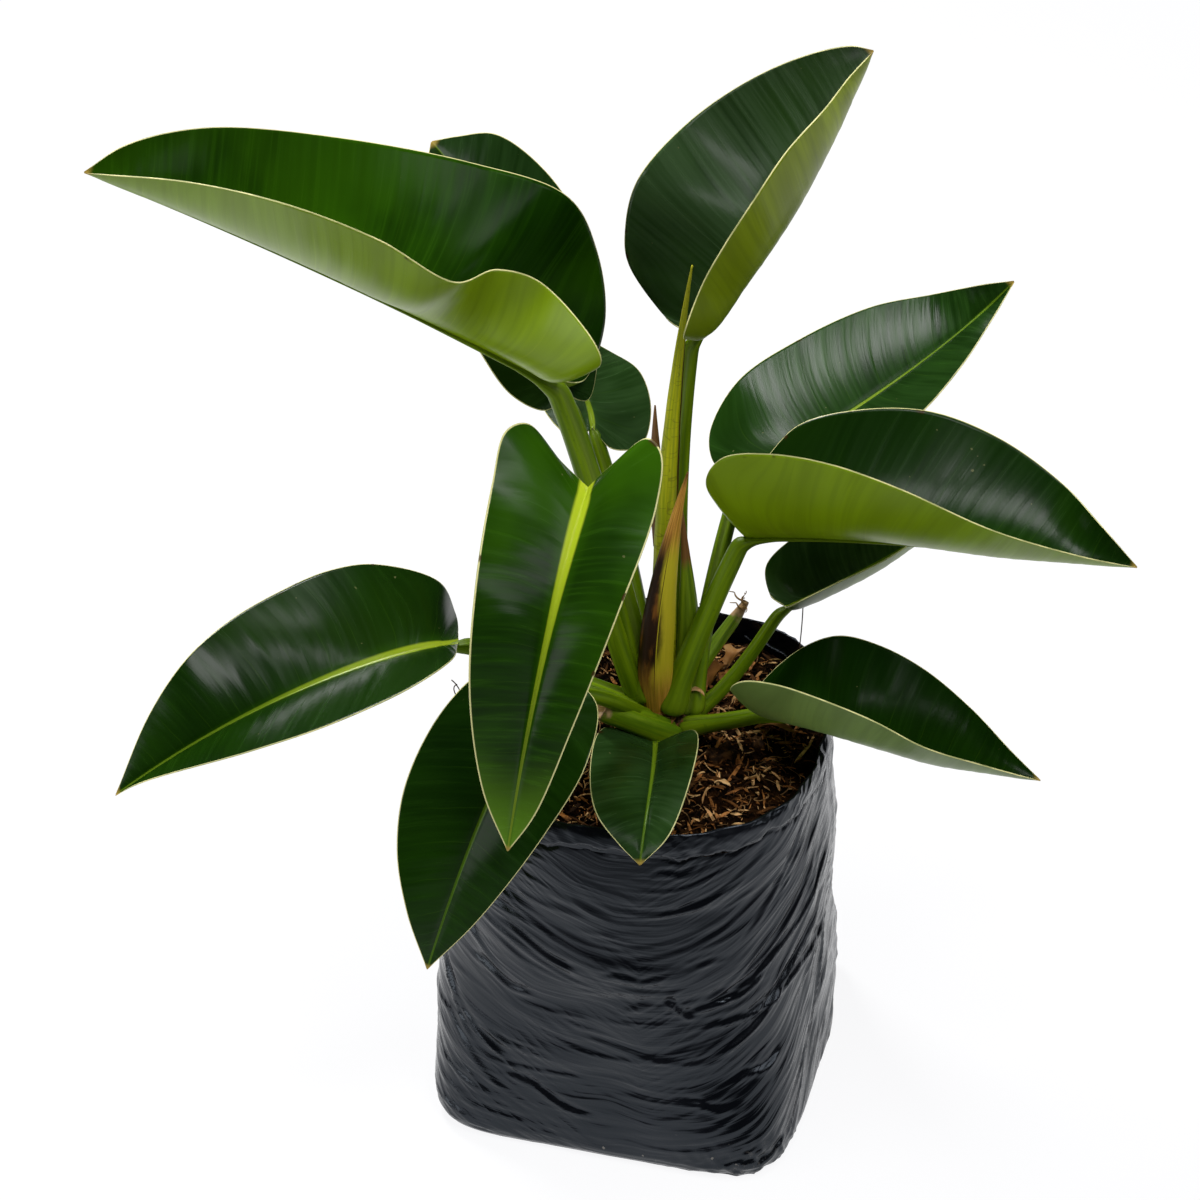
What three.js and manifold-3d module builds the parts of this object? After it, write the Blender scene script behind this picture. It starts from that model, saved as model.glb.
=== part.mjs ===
// A congo green philodendron in a soft black nursery bag.
// Millimetres, +Z up, origin on the surface that the bag stands on, under the middle of the bag.
// The side seen in front faces -Y, so +X is to its right.

import * as THREE from 'three';
import { mergeVertices } from 'three/addons/utils/BufferGeometryUtils.js';
import Module from 'manifold-3d';

const wasm = await Module();
wasm.setup();

// Driving dimensions of the bag and its soil
const BAG_HEIGHT = 200;
const BAG_HALF_WIDTH = 93;
const BAG_WALL = 1;
const BAG_YAW = -15.3 * Math.PI / 180;
const BAG_BELLY = 0.03;
const BAG_SIDES = 48;
const BELLY_SQUARENESS = 2.3;
const FOOT_SQUARENESS = 6.5;
// How far the foot stands out past the belly's half width on each side; less than nothing is tucked in
const FOOT_RIGHT = 6;
const FOOT_LEFT = -9;
const FOOT_FRONT = 9;
const FOOT_BACK = -3;
// Height that the foot's form fades out over, and how sharply
const FOOT_FADE = 42;
const FOOT_FADE_POWER = 1.3;
// The corner of the foot behind the right side is drawn in by a share of its reach
const CORNER_TUCK = 0.06;
const CORNER_TUCK_AT = 32 * Math.PI / 180;
const CORNER_TUCK_SPREAD = 20 * Math.PI / 180;
const BASE_ROUNDING = 7;
const RIM_WAVE = 3.5;
const RIM_RIPPLE = 1.4;
const WALL_HEIGHTS = [BASE_ROUNDING, 24, 48, 80, 120, 172];
const SOIL_LEVEL = 184;
const SOIL_MOUND = 5;
const SOIL_MOUND_SPREAD = 40;
const SOIL_EDGE = 0.4;
// Heights of the two sets of waves in the lumpy soil, and their radians a millimetre along X and Y
const SHORT_LUMP = { height: 1.2, x: 0.21, y: 0.17 };
const LONG_LUMP = { height: 0.72, x: 0.11, y: -0.23 };
// Rings of points on top of the soil, as shares of the way out from the axis
const SOIL_RINGS = [1, 0.86, 0.7, 0.52, 0.3];

// Driving dimensions of the plant
const GAP = 0.3;
const CROWN = new THREE.Vector3(12, 0, 0);
const CROWN_RADIUS = 14;
const CROWN_FOOT = 140;
const CROWN_TOP = 200;
const CROWN_SIDES = 12;
const SHEATH_RADIUS = 22;
const SHEATH_TOP = 216;
const STALK_SIDES = 8;
const STALK_STEP = 24;
const MARGIN_THICKNESS = 0.9;
const RIB_THICKNESS = 3.2;
const RIB_TIP_THICKNESS = 1.3;
const RIB_HALF_WIDTH = 4;
// Share of its thickness that the midrib starts with, and share of the blade's length where it has all of it
const RIB_START = 0.4;
const RIB_FULL_AT = 0.15;
const ROOT_HALF_WIDTH = 3.2;
const CLOSE_POINTS = 2.5;
const TIP_HALF_WIDTH = 0.5;

// Places across half a blade, from the midrib to the margin
const ACROSS = [0, 0.09, 0.38, 0.7, 1];
// The hollow of a blade is a little deeper beside the midrib than near the margin
const HOLLOW_AT_RIB = 1.25;
const HOLLOW_AT_MARGIN = 0.75;
// Share of the margin that fans round the lobe from the root of the midrib
const LOBE_SHARE = 0.16;
// Share of the midrib that those veins start from
const ROOT_PART = 0.06;
const VEIN_SWEEP = 0.042;
// Share of the midrib beside the last point of a margin
const LAST_STATION = 0.9;

// Each blade has its midrib as the four points of a cubic curve, and its margins as points that a smooth
// line runs through, from the lobe beside the root to the last point before the tip.
// Left and right are seen from the root, with the upper face up.
const LEAVES = {
  upper_left: {
    rib: [[-40, 0, 386], [-93, -10, 422], [-171, -20, 473], [-243, -25, 506]],
    left: [[-18, -36, 420], [-43, -14, 444], [-64, -28, 460], [-82, -50, 466], [-113, -60, 492],
      [-149, -63, 510], [-195, -41, 510]],
    right: [[-23, 56, 358], [-16, 67, 380], [-20, 68, 417], [-35, 56, 453], [-78, 62, 466],
      [-141, 51, 485], [-195, 8, 511], [-226, -15, 514]],
    cup: [0.12, 0.1, 0.06],
    rows: 18,
  },
  top: {
    rib: [[24, 20, 399], [46, 20, 416], [77, 22, 477], [102, 25, 540]],
    left: [[10, 64, 386], [-5, 75, 405], [-7, 73, 424], [-1, 69, 454], [22, 75, 480], [58, 58, 515],
      [92, 30, 540]],
    right: [[19, -24, 426], [26, -23, 448], [35, -29, 471], [48, -33, 497], [62, -26, 517],
      [79, -9, 529], [91, 11, 535]],
    cup: [0.12, 0.12, 0.08],
    rows: 16,
  },
  upper_right: {
    rib: [[51, 56, 302], [79, 72, 307], [141, 110, 327], [183, 120, 371]],
    left: [[37, 84, 290], [36, 105, 296], [50, 122, 314], [81, 139, 328], [116, 148, 341],
      [145, 141, 352], [169, 121, 369]],
    right: [[43, 40, 300], [57, 33, 297], [102, 47, 308], [136, 61, 333], [155, 78, 348],
      [170, 104, 356]],
    cup: [0, -0.03, -0.02],
    rows: 16,
  },
  right: {
    rib: [[50, 8, 296], [104, -2, 304], [168, -14, 302], [232, -22, 298]],
    left: [[46, 30, 299], [62, 51, 314], [77, 57, 328], [106, 56, 337], [139, 51, 339],
      [171, 40, 331], [199, 18, 320], [215, -10, 314]],
    right: [[31, -2, 332], [38, -10, 351], [59, -21, 360], [86, -33, 362], [117, -46, 357],
      [159, -49, 337], [203, -33, 312]],
    cup: [0.12, 0.12, 0.08],
    rows: 16,
  },
  middle_right: {
    rib: [[71, 25, 245], [93, 30, 252], [123, 45, 260], [159, 58, 279]],
    left: [[64, 46, 239], [63, 57, 247], [77, 66, 258], [104, 72, 271], [133, 63, 283]],
    right: [[72, 1, 261], [78, -2, 267], [93, 1, 274], [115, 12, 279], [138, 36, 279]],
    cup: [0.1, 0.1, 0.06],
    rows: 12,
  },
  lower_right: {
    rib: [[62, -28, 219], [100, -38, 214], [146, -58, 211], [188, -70, 210]],
    left: [[56, 6, 204], [62, 16, 208], [79, 16, 226], [97, 8, 239], [116, 1, 238], [137, -9, 231],
      [158, -28, 222], [175, -54, 216]],
    right: [[43, -41, 242], [49, -51, 254], [63, -58, 257], [83, -68, 256], [108, -79, 251],
      [131, -84, 240], [161, -77, 224]],
    cup: [0.12, 0.12, 0.08],
    rows: 14,
  },
  front_small: {
    rib: [[8, -28, 201], [7, -62, 207], [1, -106, 210], [0, -110, 191]],
    left: [[21, -28, 208], [27, -36, 214], [25, -72, 219], [13, -107, 206]],
    right: [[-6, -26, 207], [-17, -32, 213], [-23, -62, 215], [-20, -100, 213], [-10, -108, 202]],
    cup: [-0.02, -0.04, -0.02],
    rows: 12,
  },
  front: {
    rib: [[-24, -45, 357], [-39, -92, 332], [-52, -120, 276], [-61, -120, 207]],
    left: [[-13, -38, 365], [3, -40, 380], [9, -46, 376], [7, -62, 358], [-10, -98, 325],
      [-31, -116, 273], [-48, -120, 228]],
    right: [[-36, -36, 365], [-51, -34, 384], [-61, -42, 385], [-67, -60, 368], [-74, -102, 339],
      [-77, -118, 296], [-72, -120, 242]],
    cup: [-0.02, -0.05, -0.03],
    rows: 16,
  },
  left: {
    rib: [[-86, -12, 249], [-123, -20, 250], [-193, -45, 233], [-248, -60, 194]],
    left: [[-89, -50, 264], [-108, -68, 261], [-143, -83, 252], [-179, -84, 238], [-236, -64, 204]],
    right: [[-89, 28, 239], [-96, 33, 253], [-127, 31, 265], [-149, 24, 266], [-172, 12, 262],
      [-196, -7, 257], [-215, -28, 249], [-232, -41, 227]],
    cup: [0, -0.05, -0.03],
    rows: 16,
  },
  lower_left: {
    rib: [[-44, -58, 251], [-65, -90, 237], [-86, -112, 184], [-100, -114, 132]],
    left: [[-30, -54, 254], [-20, -66, 251], [-25, -94, 237], [-44, -110, 209], [-75, -115, 163]],
    right: [[-58, -52, 262], [-74, -56, 262], [-93, -68, 247], [-109, -88, 221], [-113, -102, 194],
      [-109, -112, 166]],
    cup: [-0.02, -0.05, -0.02],
    rows: 14,
  },
  back_left: {
    rib: [[-35, 40, 355], [-39, 58, 371], [-66, 88, 425], [-98, 108, 453]],
    left: [[-44, 32, 351], [-60, 34, 358], [-76, 48, 375], [-91, 70, 394], [-100, 90, 418],
      [-101, 104, 440]],
    right: [[-24, 52, 345], [-20, 66, 354], [-19, 86, 380], [-29, 106, 412], [-45, 118, 433],
      [-68, 120, 451], [-86, 114, 453]],
    cup: [0, -0.03, -0.02],
    rows: 14,
  },
  back: {
    rib: [[-22, 46, 333], [-22, 60, 343], [-36, 90, 350], [-61, 108, 355]],
    left: [[-30, 40, 330], [-40, 50, 332], [-50, 72, 336], [-61, 94, 348]],
    right: [[-13, 40, 325], [1, 46, 323], [6, 62, 332], [1, 84, 341], [-13, 102, 342],
      [-38, 110, 351]],
    cup: [0, -0.03, -0.02],
    rows: 12,
  },
};

// Each stalk has the four points of a cubic curve and its radii from foot to end.
// A stalk that comes later gives way to those before it where they press together.
const STALKS = {
  papery_sheath: {
    path: [[9, -8, 200], [5, -13, 250], [13, -14, 306], [22, -13, 345]],
    radii: [8, 8.2, 5.6, 0.7],
  },
  petiole_right: {
    path: [[14, 0, 196], [25, -3, 238], [42, 2, 280], [50, 8, 297]],
    radii: [5.5, 4.6, 4.2],
  },
  petiole_upper_left: {
    path: [[4, 4, 200], [-8, 4, 259], [-19, 0, 329], [-40, 0, 386]],
    radii: [6.2, 6, 5.8, 5.4],
  },
  rolled_leaf: {
    path: [[13, 8, 200], [10, 6, 284], [13, 6, 372], [23, 6, 443]],
    radii: [5, 5.5, 4.5, 0.7],
  },
  petiole_top: {
    path: [[20, 18, 198], [19, 20, 252], [16, 22, 319], [24, 20, 399]],
    radii: [6, 5, 4, 4],
  },
  petiole_front: {
    path: [[4, -4, 200], [-13, -10, 249], [-23, -28, 306], [-24, -44, 357]],
    radii: [5, 4.5, 4],
  },
  petiole_back: {
    path: [[8, 14, 200], [0, 20, 252], [-10, 38, 298], [-22, 46, 333]],
    radii: [4.5, 4, 3.4],
  },
  petiole_back_left: {
    path: [[2, 8, 196], [-17, 25, 236], [-13, 34, 300], [-34, 39, 353]],
    radii: [4.5, 4, 3.5],
  },
  petiole_upper_right: {
    path: [[24, 12, 196], [32, 22, 250], [41, 42, 276], [50, 55, 300]],
    radii: [4.8, 4, 3.8],
  },
  short_sheath: {
    path: [[22, 6, 205], [26, 4, 250], [22, 8, 284], [20, 10, 310]],
    radii: [4, 5, 3, 0.7],
  },
  brown_scale: {
    path: [[9, 12, 288], [8, 14, 318], [7, 15, 342], [7, 15, 364]],
    radii: [2.2, 3.2, 2.4, 0.6],
  },
  petiole_middle_right: {
    path: [[20, 4, 190], [45, 14, 200], [59, 20, 228], [71, 25, 245]],
    radii: [3.6, 3.2, 3],
  },
  petiole_lower_right: {
    path: [[16, -6, 196], [32, -16, 204], [48, -22, 210], [62, -28, 219]],
    radii: [4.5, 4, 3.8],
  },
  petiole_left: {
    path: [[8, -2, 198], [-18, -6, 222], [-57, -10, 234], [-86, -12, 249]],
    radii: [5.5, 4.5, 4],
  },
  cut_stub: {
    path: [[16, -8, 196], [5, -20, 206], [-9, -26, 216], [-23, -30, 226]],
    radii: [6, 5.5, 5, 5],
  },
  petiole_lower_left: {
    path: [[6, -6, 198], [-10, -34, 232], [-33, -54, 254], [-44, -58, 251]],
    radii: [4.5, 4, 3.5],
  },
  petiole_front_small: {
    path: [[13, -4, 194], [11, -16, 196], [8, -22, 198], [8, -28, 201]],
    radii: [3.5, 3, 2.8],
  },
  old_stub: {
    path: [[20, 8, 196], [38, 24, 214], [48, 38, 221], [54, 42, 232]],
    radii: [4.5, 5, 4, 2.6],
  },
  flared_stub: {
    path: [[18, -6, 192], [21, -8, 200], [23, -9, 206], [24, -10, 213]],
    radii: [4, 4.4, 5, 5.4],
  },
};

const COLOURS = {
  bag: { color: 0x2b2d33, roughness: 0.35, metalness: 0 },
  soil: { color: 0x3a2617, roughness: 0.95, metalness: 0 },
  blade: { color: 0x24501c, roughness: 0.3, metalness: 0 },
  green_stalk: { color: 0x5d7a1f, roughness: 0.45, metalness: 0 },
  young_leaf: { color: 0xa0a526, roughness: 0.4, metalness: 0 },
  papery: { color: 0x8d5a2a, roughness: 0.7, metalness: 0 },
};

const vector = ([x, y, z]) => new THREE.Vector3(x, y, z);
const cubic = (points) => new THREE.CubicBezierCurve3(...points.map(vector));
const bump = (t) => 4 * t * (1 - t);

// A value given at the root, the middle and the tip, eased between them
function eased([root, middle, tip], t) {
  return root * (1 - t) * (1 - 2 * t) + middle * bump(t) + tip * t * (2 * t - 1);
}

// Share of the midrib reached by the vein that meets the margin at share w of its length
function veinStation(w) {
  if (w < LOBE_SHARE) return ROOT_PART * w / LOBE_SHARE;
  return ROOT_PART + (1 - ROOT_PART) * (w - LOBE_SHARE) / (1 - LOBE_SHARE);
}

// Margin points at even steps, from just beside the root of the midrib to just beside its tip
function marginPoints(rib, side, rows) {
  const tip = rib.getPoint(1);
  const across = vector(side.at(-1)).sub(rib.getPointAt(LAST_STATION));
  const end = tip.clone().addScaledVector(across.normalize(), TIP_HALF_WIDTH);
  const line = new THREE.CatmullRomCurve3([rib.getPoint(0), ...side.map(vector), end], false, 'centripetal');
  const beside = ROOT_HALF_WIDTH / line.getLength();
  const points = [];
  for (let i = 0; i <= rows; i += 1) {
    points.push(line.getPointAt(THREE.MathUtils.lerp(beside, 1, i / rows)));
  }
  return points;
}

// Rows of points from the midrib to one margin, hollowed like a shallow trough
function halfBlade(leaf, side, hand, rows) {
  const rib = cubic(leaf.rib);
  const edge = marginPoints(rib, side, rows);
  const roots = [];
  const aways = [];
  const ups = [];
  for (let i = 0; i <= rows; i += 1) {
    const x = veinStation(i / rows);
    const root = rib.getPointAt(x);
    const along = rib.getTangentAt(x);
    const away = edge[i].clone().sub(root);
    roots.push({ root, along, x });
    aways.push(away);
    ups.push(along.clone().cross(away).multiplyScalar(hand).normalize());
  }
  const smoothings = 6;
  for (let pass = 0; pass < smoothings; pass += 1) {
    const before = ups.map((up) => up.clone());
    for (let i = 1; i < rows; i += 1) {
      ups[i].add(before[i]).add(before[i - 1]).add(before[i + 1]).normalize();
    }
  }
  return roots.map(({ root, along, x }, i) => {
    const width = aways[i].length();
    const depth = eased(leaf.cup, x) * width;
    const sweep = VEIN_SWEEP * 2 * Math.min(i, rows - i) / rows * width;
    return ACROSS.map((v) => root.clone()
      .addScaledVector(aways[i], v)
      .addScaledVector(ups[i], -depth * bump(v) * THREE.MathUtils.lerp(HOLLOW_AT_RIB, HOLLOW_AT_MARGIN, v))
      .addScaledVector(along, -sweep * bump(v)));
  });
}

// Points of the upper face: rows from root to tip, each from the left margin over the rib to the right
function upperFace(leaf) {
  const left = halfBlade(leaf, leaf.left, 1, leaf.rows);
  const right = halfBlade(leaf, leaf.right, -1, leaf.rows);
  return left.map((row, i) => [...row.slice(1).reverse(), ...right[i]]);
}

// Normals of a grid of points, weighed by the faces round each point and steadied along the rows
function gridNormals(grid) {
  const last = grid.length - 1;
  let normals = grid.map((row) => row.map(() => new THREE.Vector3()));
  for (let i = 0; i < last; i += 1) {
    for (let j = 0; j < grid[i].length - 1; j += 1) {
      const rising = grid[i + 1][j + 1].clone().sub(grid[i][j]);
      const falling = grid[i][j + 1].clone().sub(grid[i + 1][j]);
      const face = falling.cross(rising);
      [[i, j], [i + 1, j], [i, j + 1], [i + 1, j + 1]].forEach(([a, b]) => normals[a][b].add(face));
    }
  }
  normals.flat().forEach((normal) => normal.normalize());
  const passes = 4;
  for (let pass = 0; pass < passes; pass += 1) {
    normals = normals.map((row, i) => row.map((normal, j) => normal.clone()
      .add(normals[Math.min(i + 1, last)][j])
      .add(normals[Math.max(i - 1, 0)][j])
      .normalize()));
  }
  return normals.map((row, i) => evenedRow(row, grid[i]));
}

// Where points of a row lie close together, their normals come near the mean of the row
function evenedRow(row, points) {
  const mean = row.reduce((sum, normal) => sum.add(normal), new THREE.Vector3()).normalize();
  return row.map((normal, j) => {
    const before = points[Math.max(j - 1, 0)].distanceTo(points[Math.max(j, 1)]);
    const after = points[Math.min(j, row.length - 2)].distanceTo(points[Math.min(j + 1, row.length - 1)]);
    const own = Math.min(Math.min(before, after) / CLOSE_POINTS, 1);
    return mean.clone().lerp(normal, own).normalize();
  });
}

// Two faces a small way apart, split into triangles alike, and closed round their edge.
// The splits mirror each other on either side of the midrib.
function sheetGeometry(top, bottom) {
  const rows = top.length;
  const columns = top[0].length;
  const positions = [...top.flat(), ...bottom.flat()].flatMap((p) => [p.x, p.y, p.z]);
  const upper = (i, j) => i * columns + j;
  const lower = (i, j) => rows * columns + upper(i, j);
  const indices = [];
  const quad = (a, b, c, d, mirrored = false) => {
    indices.push(...(mirrored ? [a, b, d, b, c, d] : [a, b, c, a, c, d]));
  };
  for (let i = 0; i < rows - 1; i += 1) {
    for (let j = 0; j < columns - 1; j += 1) {
      const mirrored = j >= (columns - 1) / 2;
      quad(upper(i, j), upper(i, j + 1), upper(i + 1, j + 1), upper(i + 1, j), mirrored);
      quad(lower(i, j), lower(i + 1, j), lower(i + 1, j + 1), lower(i, j + 1), mirrored);
    }
    const end = columns - 1;
    quad(upper(i, 0), upper(i + 1, 0), lower(i + 1, 0), lower(i, 0));
    quad(upper(i + 1, end), upper(i, end), lower(i, end), lower(i + 1, end));
  }
  for (let j = 0; j < columns - 1; j += 1) {
    quad(upper(0, j + 1), upper(0, j), lower(0, j), lower(0, j + 1));
    quad(upper(rows - 1, j), upper(rows - 1, j + 1), lower(rows - 1, j + 1), lower(rows - 1, j));
  }
  return closedGeometry(positions, indices);
}

function closedGeometry(positions, indices) {
  const geometry = new THREE.BufferGeometry();
  geometry.setAttribute('position', new THREE.Float32BufferAttribute(positions, 3));
  geometry.setIndex(indices);
  return geometry;
}

// A grid of points drawn out past its edges on every side
function widerGrid(leaf, grid, by) {
  const rib = cubic(leaf.rib);
  const pushed = (p, from) => p.clone().add(p.clone().sub(from).setLength(by));
  const rows = grid.map((row) => [
    pushed(row[0], row[1]), ...row.slice(1, -1), pushed(row.at(-1), row.at(-2)),
  ]);
  const before = rows[0].map((p) => p.clone().addScaledVector(rib.getTangentAt(0), -by));
  const after = rows.at(-1).map((p) => p.clone().addScaledVector(rib.getTangentAt(1), by));
  return [before, ...rows, after];
}

// Thickness over the midrib, at share t from root to tip, less where the row of points is too narrow for it
function ribThickness(row, middle, t) {
  const room = Math.min(row[middle].distanceTo(row[middle - 1]), row[middle].distanceTo(row[middle + 1]));
  const grown = Math.min(THREE.MathUtils.lerp(RIB_START, 1, t / RIB_FULL_AT), 1);
  const full = THREE.MathUtils.lerp(RIB_THICKNESS, RIB_TIP_THICKNESS, t) * grown;
  return THREE.MathUtils.lerp(MARGIN_THICKNESS, full, Math.min(room / RIB_HALF_WIDTH, 1));
}

// A blade with its midrib raised underneath; spare is added all round where a neighbour keeps clear
function bladeGeometry(leaf, spare = 0) {
  const face = upperFace(leaf);
  const normals = gridNormals(face);
  const middle = (face[0].length - 1) / 2;
  const top = face.map((row, i) => row.map((p, j) => p.clone().addScaledVector(normals[i][j], spare)));
  const bottom = face.map((row, i) => {
    const rib = ribThickness(row, middle, i / (face.length - 1));
    return row.map((p, j) => {
      const thickness = j === middle ? rib : MARGIN_THICKNESS;
      return p.clone().addScaledVector(normals[i][j], -thickness - spare);
    });
  });
  if (spare > 0) return sheetGeometry(widerGrid(leaf, top, 2 * spare), widerGrid(leaf, bottom, 2 * spare));
  return sheetGeometry(top, bottom);
}

// A round tapering stalk along a cubic curve, with flat ends
function stalkGeometry({ path, radii }, spare = 0) {
  const curve = cubic(path);
  const steps = Math.max(3, Math.round(curve.getLength() / STALK_STEP));
  const sidewise = new THREE.Vector3(1, 0, 0);
  const positions = [];
  const indices = [];
  for (let i = 0; i <= steps; i += 1) {
    const t = i / steps;
    const place = t * (radii.length - 1);
    const before = Math.min(Math.floor(place), radii.length - 2);
    const radius = THREE.MathUtils.lerp(radii[before], radii[before + 1], place - before) + spare;
    const centre = curve.getPointAt(t);
    const along = curve.getTangentAt(t);
    const across = sidewise.clone().addScaledVector(along, -sidewise.dot(along)).normalize();
    const third = along.clone().cross(across);
    for (let k = 0; k < STALK_SIDES; k += 1) {
      const angle = 2 * Math.PI * (k + 0.5) / STALK_SIDES;
      const p = centre.clone()
        .addScaledVector(across, radius * Math.cos(angle))
        .addScaledVector(third, radius * Math.sin(angle));
      positions.push(p.x, p.y, p.z);
    }
  }
  for (let i = 0; i < steps; i += 1) {
    for (let k = 0; k < STALK_SIDES; k += 1) {
      const next = (k + 1) % STALK_SIDES;
      const a = i * STALK_SIDES + k;
      const b = i * STALK_SIDES + next;
      indices.push(a, b, b + STALK_SIDES, a, b + STALK_SIDES, a + STALK_SIDES);
    }
  }
  const top = steps * STALK_SIDES;
  for (let k = 1; k < STALK_SIDES - 1; k += 1) {
    indices.push(0, k + 1, k);
    indices.push(top, top + k, top + k + 1);
  }
  return closedGeometry(positions, indices);
}

function toSolid(geometry) {
  const bare = geometry.clone();
  bare.deleteAttribute('normal');
  bare.deleteAttribute('uv');
  const merged = mergeVertices(bare, 1e-4);
  const mesh = new wasm.Mesh({
    numProp: 3,
    vertProperties: new Float32Array(merged.attributes.position.array),
    triVerts: new Uint32Array(merged.index.array),
  });
  return new wasm.Manifold(mesh);
}

function toGeometry(solid) {
  const mesh = solid.getMesh();
  return closedGeometry(Array.from(mesh.vertProperties), Array.from(mesh.triVerts));
}

// The largest of the bodies that a cut leaves
function mainBody(solid) {
  const bodies = solid.decompose();
  return bodies.reduce((best, body) => (body.volume() > best.volume() ? body : best));
}

// Distance from the bag's axis to its outer face; the foot is squarer than the belly, and stands out at its
// right and front
function bagRadius(angle, z) {
  const foot = Math.exp(-((z / FOOT_FADE) ** FOOT_FADE_POWER));
  const power = THREE.MathUtils.lerp(BELLY_SQUARENESS, FOOT_SQUARENESS, foot);
  const turned = angle - BAG_YAW;
  const sidewise = Math.cos(turned);
  const frontwise = Math.sin(turned);
  const half = BAG_HALF_WIDTH * (1 + BAG_BELLY * Math.sin(Math.PI * Math.min(z / BAG_HEIGHT, 1)));
  const wide = half + foot * (sidewise > 0 ? FOOT_RIGHT : FOOT_LEFT);
  const deep = half + foot * (frontwise > 0 ? FOOT_BACK : FOOT_FRONT);
  const reach = (Math.abs(sidewise / wide) ** power + Math.abs(frontwise / deep) ** power) ** (-1 / power);
  const past = turned - CORNER_TUCK_AT;
  const aside = Math.atan2(Math.sin(past), Math.cos(past)) / CORNER_TUCK_SPREAD;
  return reach * (1 - foot * CORNER_TUCK * Math.exp(-(aside ** 2)));
}

// The rim is drawn up at the back and dips in front
function rimHeight(angle) {
  return BAG_HEIGHT + RIM_WAVE * Math.sin(angle) + RIM_RIPPLE * Math.sin(3 * angle + 1);
}

function ring(height, radiusAt) {
  const points = [];
  for (let k = 0; k < BAG_SIDES; k += 1) {
    const angle = 2 * Math.PI * k / BAG_SIDES;
    const radius = radiusAt(angle);
    const z = typeof height === 'function' ? height(angle) : height;
    points.push(radius * Math.cos(angle), radius * Math.sin(angle), z);
  }
  return points;
}

// A closed body from rings of points that start and end on the axis, going up and, from the ring numbered
// turn, down again. Both walls of a shell are split into triangles alike, so they never cross.
function ringedGeometry(startZ, rings, endZ, turn = rings.length) {
  const sides = rings[0].length / 3;
  const positions = [0, 0, startZ, ...rings.flat(), 0, 0, endZ];
  const indices = [];
  for (let k = 0; k < sides; k += 1) {
    const next = (k + 1) % sides;
    indices.push(0, 1 + next, 1 + k);
    for (let i = 0; i < rings.length - 1; i += 1) {
      const a = 1 + i * sides + k;
      const b = 1 + i * sides + next;
      const c = b + sides;
      const d = a + sides;
      indices.push(...(i < turn ? [a, b, c, a, c, d] : [a, b, d, b, c, d]));
    }
    const last = 1 + (rings.length - 1) * sides;
    indices.push(last + k, last + next, last + sides);
  }
  return closedGeometry(positions, indices);
}

// The bag is one thin open-topped shell with a flat foot
function bagGeometry() {
  const outer = (z) => ring(z, (angle) => bagRadius(angle, z));
  const inner = (z) => ring(z, (angle) => bagRadius(angle, z) - BAG_WALL);
  const foot = ring(0, (angle) => bagRadius(angle, 0) - BASE_ROUNDING / 2);
  const floor = ring(BAG_WALL, (angle) => bagRadius(angle, 0) - BASE_ROUNDING / 2 - BAG_WALL);
  const rimOut = ring(rimHeight, (angle) => bagRadius(angle, BAG_HEIGHT));
  const rimIn = ring(rimHeight, (angle) => bagRadius(angle, BAG_HEIGHT) - BAG_WALL);
  const up = [foot, ...WALL_HEIGHTS.map(outer), rimOut];
  const down = [rimIn, ...WALL_HEIGHTS.map(inner).reverse(), floor];
  return ringedGeometry(0, [...up, ...down], BAG_WALL, up.length);
}

// Height of the soil, mounded round the crown and lumpy
function soilHeight(x, y) {
  const far = Math.hypot(x - CROWN.x, y - CROWN.y);
  const mound = SOIL_MOUND * Math.exp(-((far / SOIL_MOUND_SPREAD) ** 2));
  const short = SHORT_LUMP.height * Math.sin(x * SHORT_LUMP.x + 1) * Math.cos(y * SHORT_LUMP.y);
  const long = LONG_LUMP.height * Math.sin(x * LONG_LUMP.x + y * LONG_LUMP.y);
  return SOIL_LEVEL + mound + short + long;
}

// The soil fills the bag to a little under its rim, with one plain hole for the crown
function soilSolid() {
  const clear = BAG_WALL + GAP;
  const wall = (z) => ring(z, (angle) => bagRadius(angle, z) - clear);
  const foot = ring(BAG_WALL + GAP, (angle) => bagRadius(angle, 0) - BASE_ROUNDING / 2 - clear);
  const topRing = (share) => ring(0, (angle) => share * (bagRadius(angle, SOIL_LEVEL) - clear - SOIL_EDGE));
  const lifted = (points) => {
    const out = [...points];
    for (let k = 0; k < out.length; k += 3) {
      out[k + 2] = soilHeight(out[k], out[k + 1]);
    }
    return out;
  };
  const tops = SOIL_RINGS.map((share) => lifted(topRing(share)));
  const sides = WALL_HEIGHTS.map(wall);
  const fill = toSolid(ringedGeometry(BAG_WALL + GAP, [foot, ...sides, ...tops], soilHeight(0, 0)));
  const hole = crownStump(GAP);
  return fill.subtract(hole);
}

// The short stem that all the leaves grow from
function crownStump(spare = 0) {
  const radius = CROWN_RADIUS + spare;
  const height = CROWN_TOP - CROWN_FOOT + 2 * spare;
  const stump = new THREE.CylinderGeometry(radius, radius, height, CROWN_SIDES);
  stump.rotateX(Math.PI / 2);
  stump.translate(CROWN.x, CROWN.y, (CROWN_TOP + CROWN_FOOT) / 2);
  return toSolid(stump);
}

// The room inside which the feet of the stalks have grown together
function sheathZone(spare = 0) {
  const radius = SHEATH_RADIUS + spare;
  const height = SHEATH_TOP - CROWN_FOOT + 2 * spare;
  const zone = new THREE.CylinderGeometry(radius, radius, height, CROWN_SIDES);
  zone.rotateX(Math.PI / 2);
  zone.translate(CROWN.x, CROWN.y, (SHEATH_TOP + CROWN_FOOT) / 2);
  return toSolid(zone);
}

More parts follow.
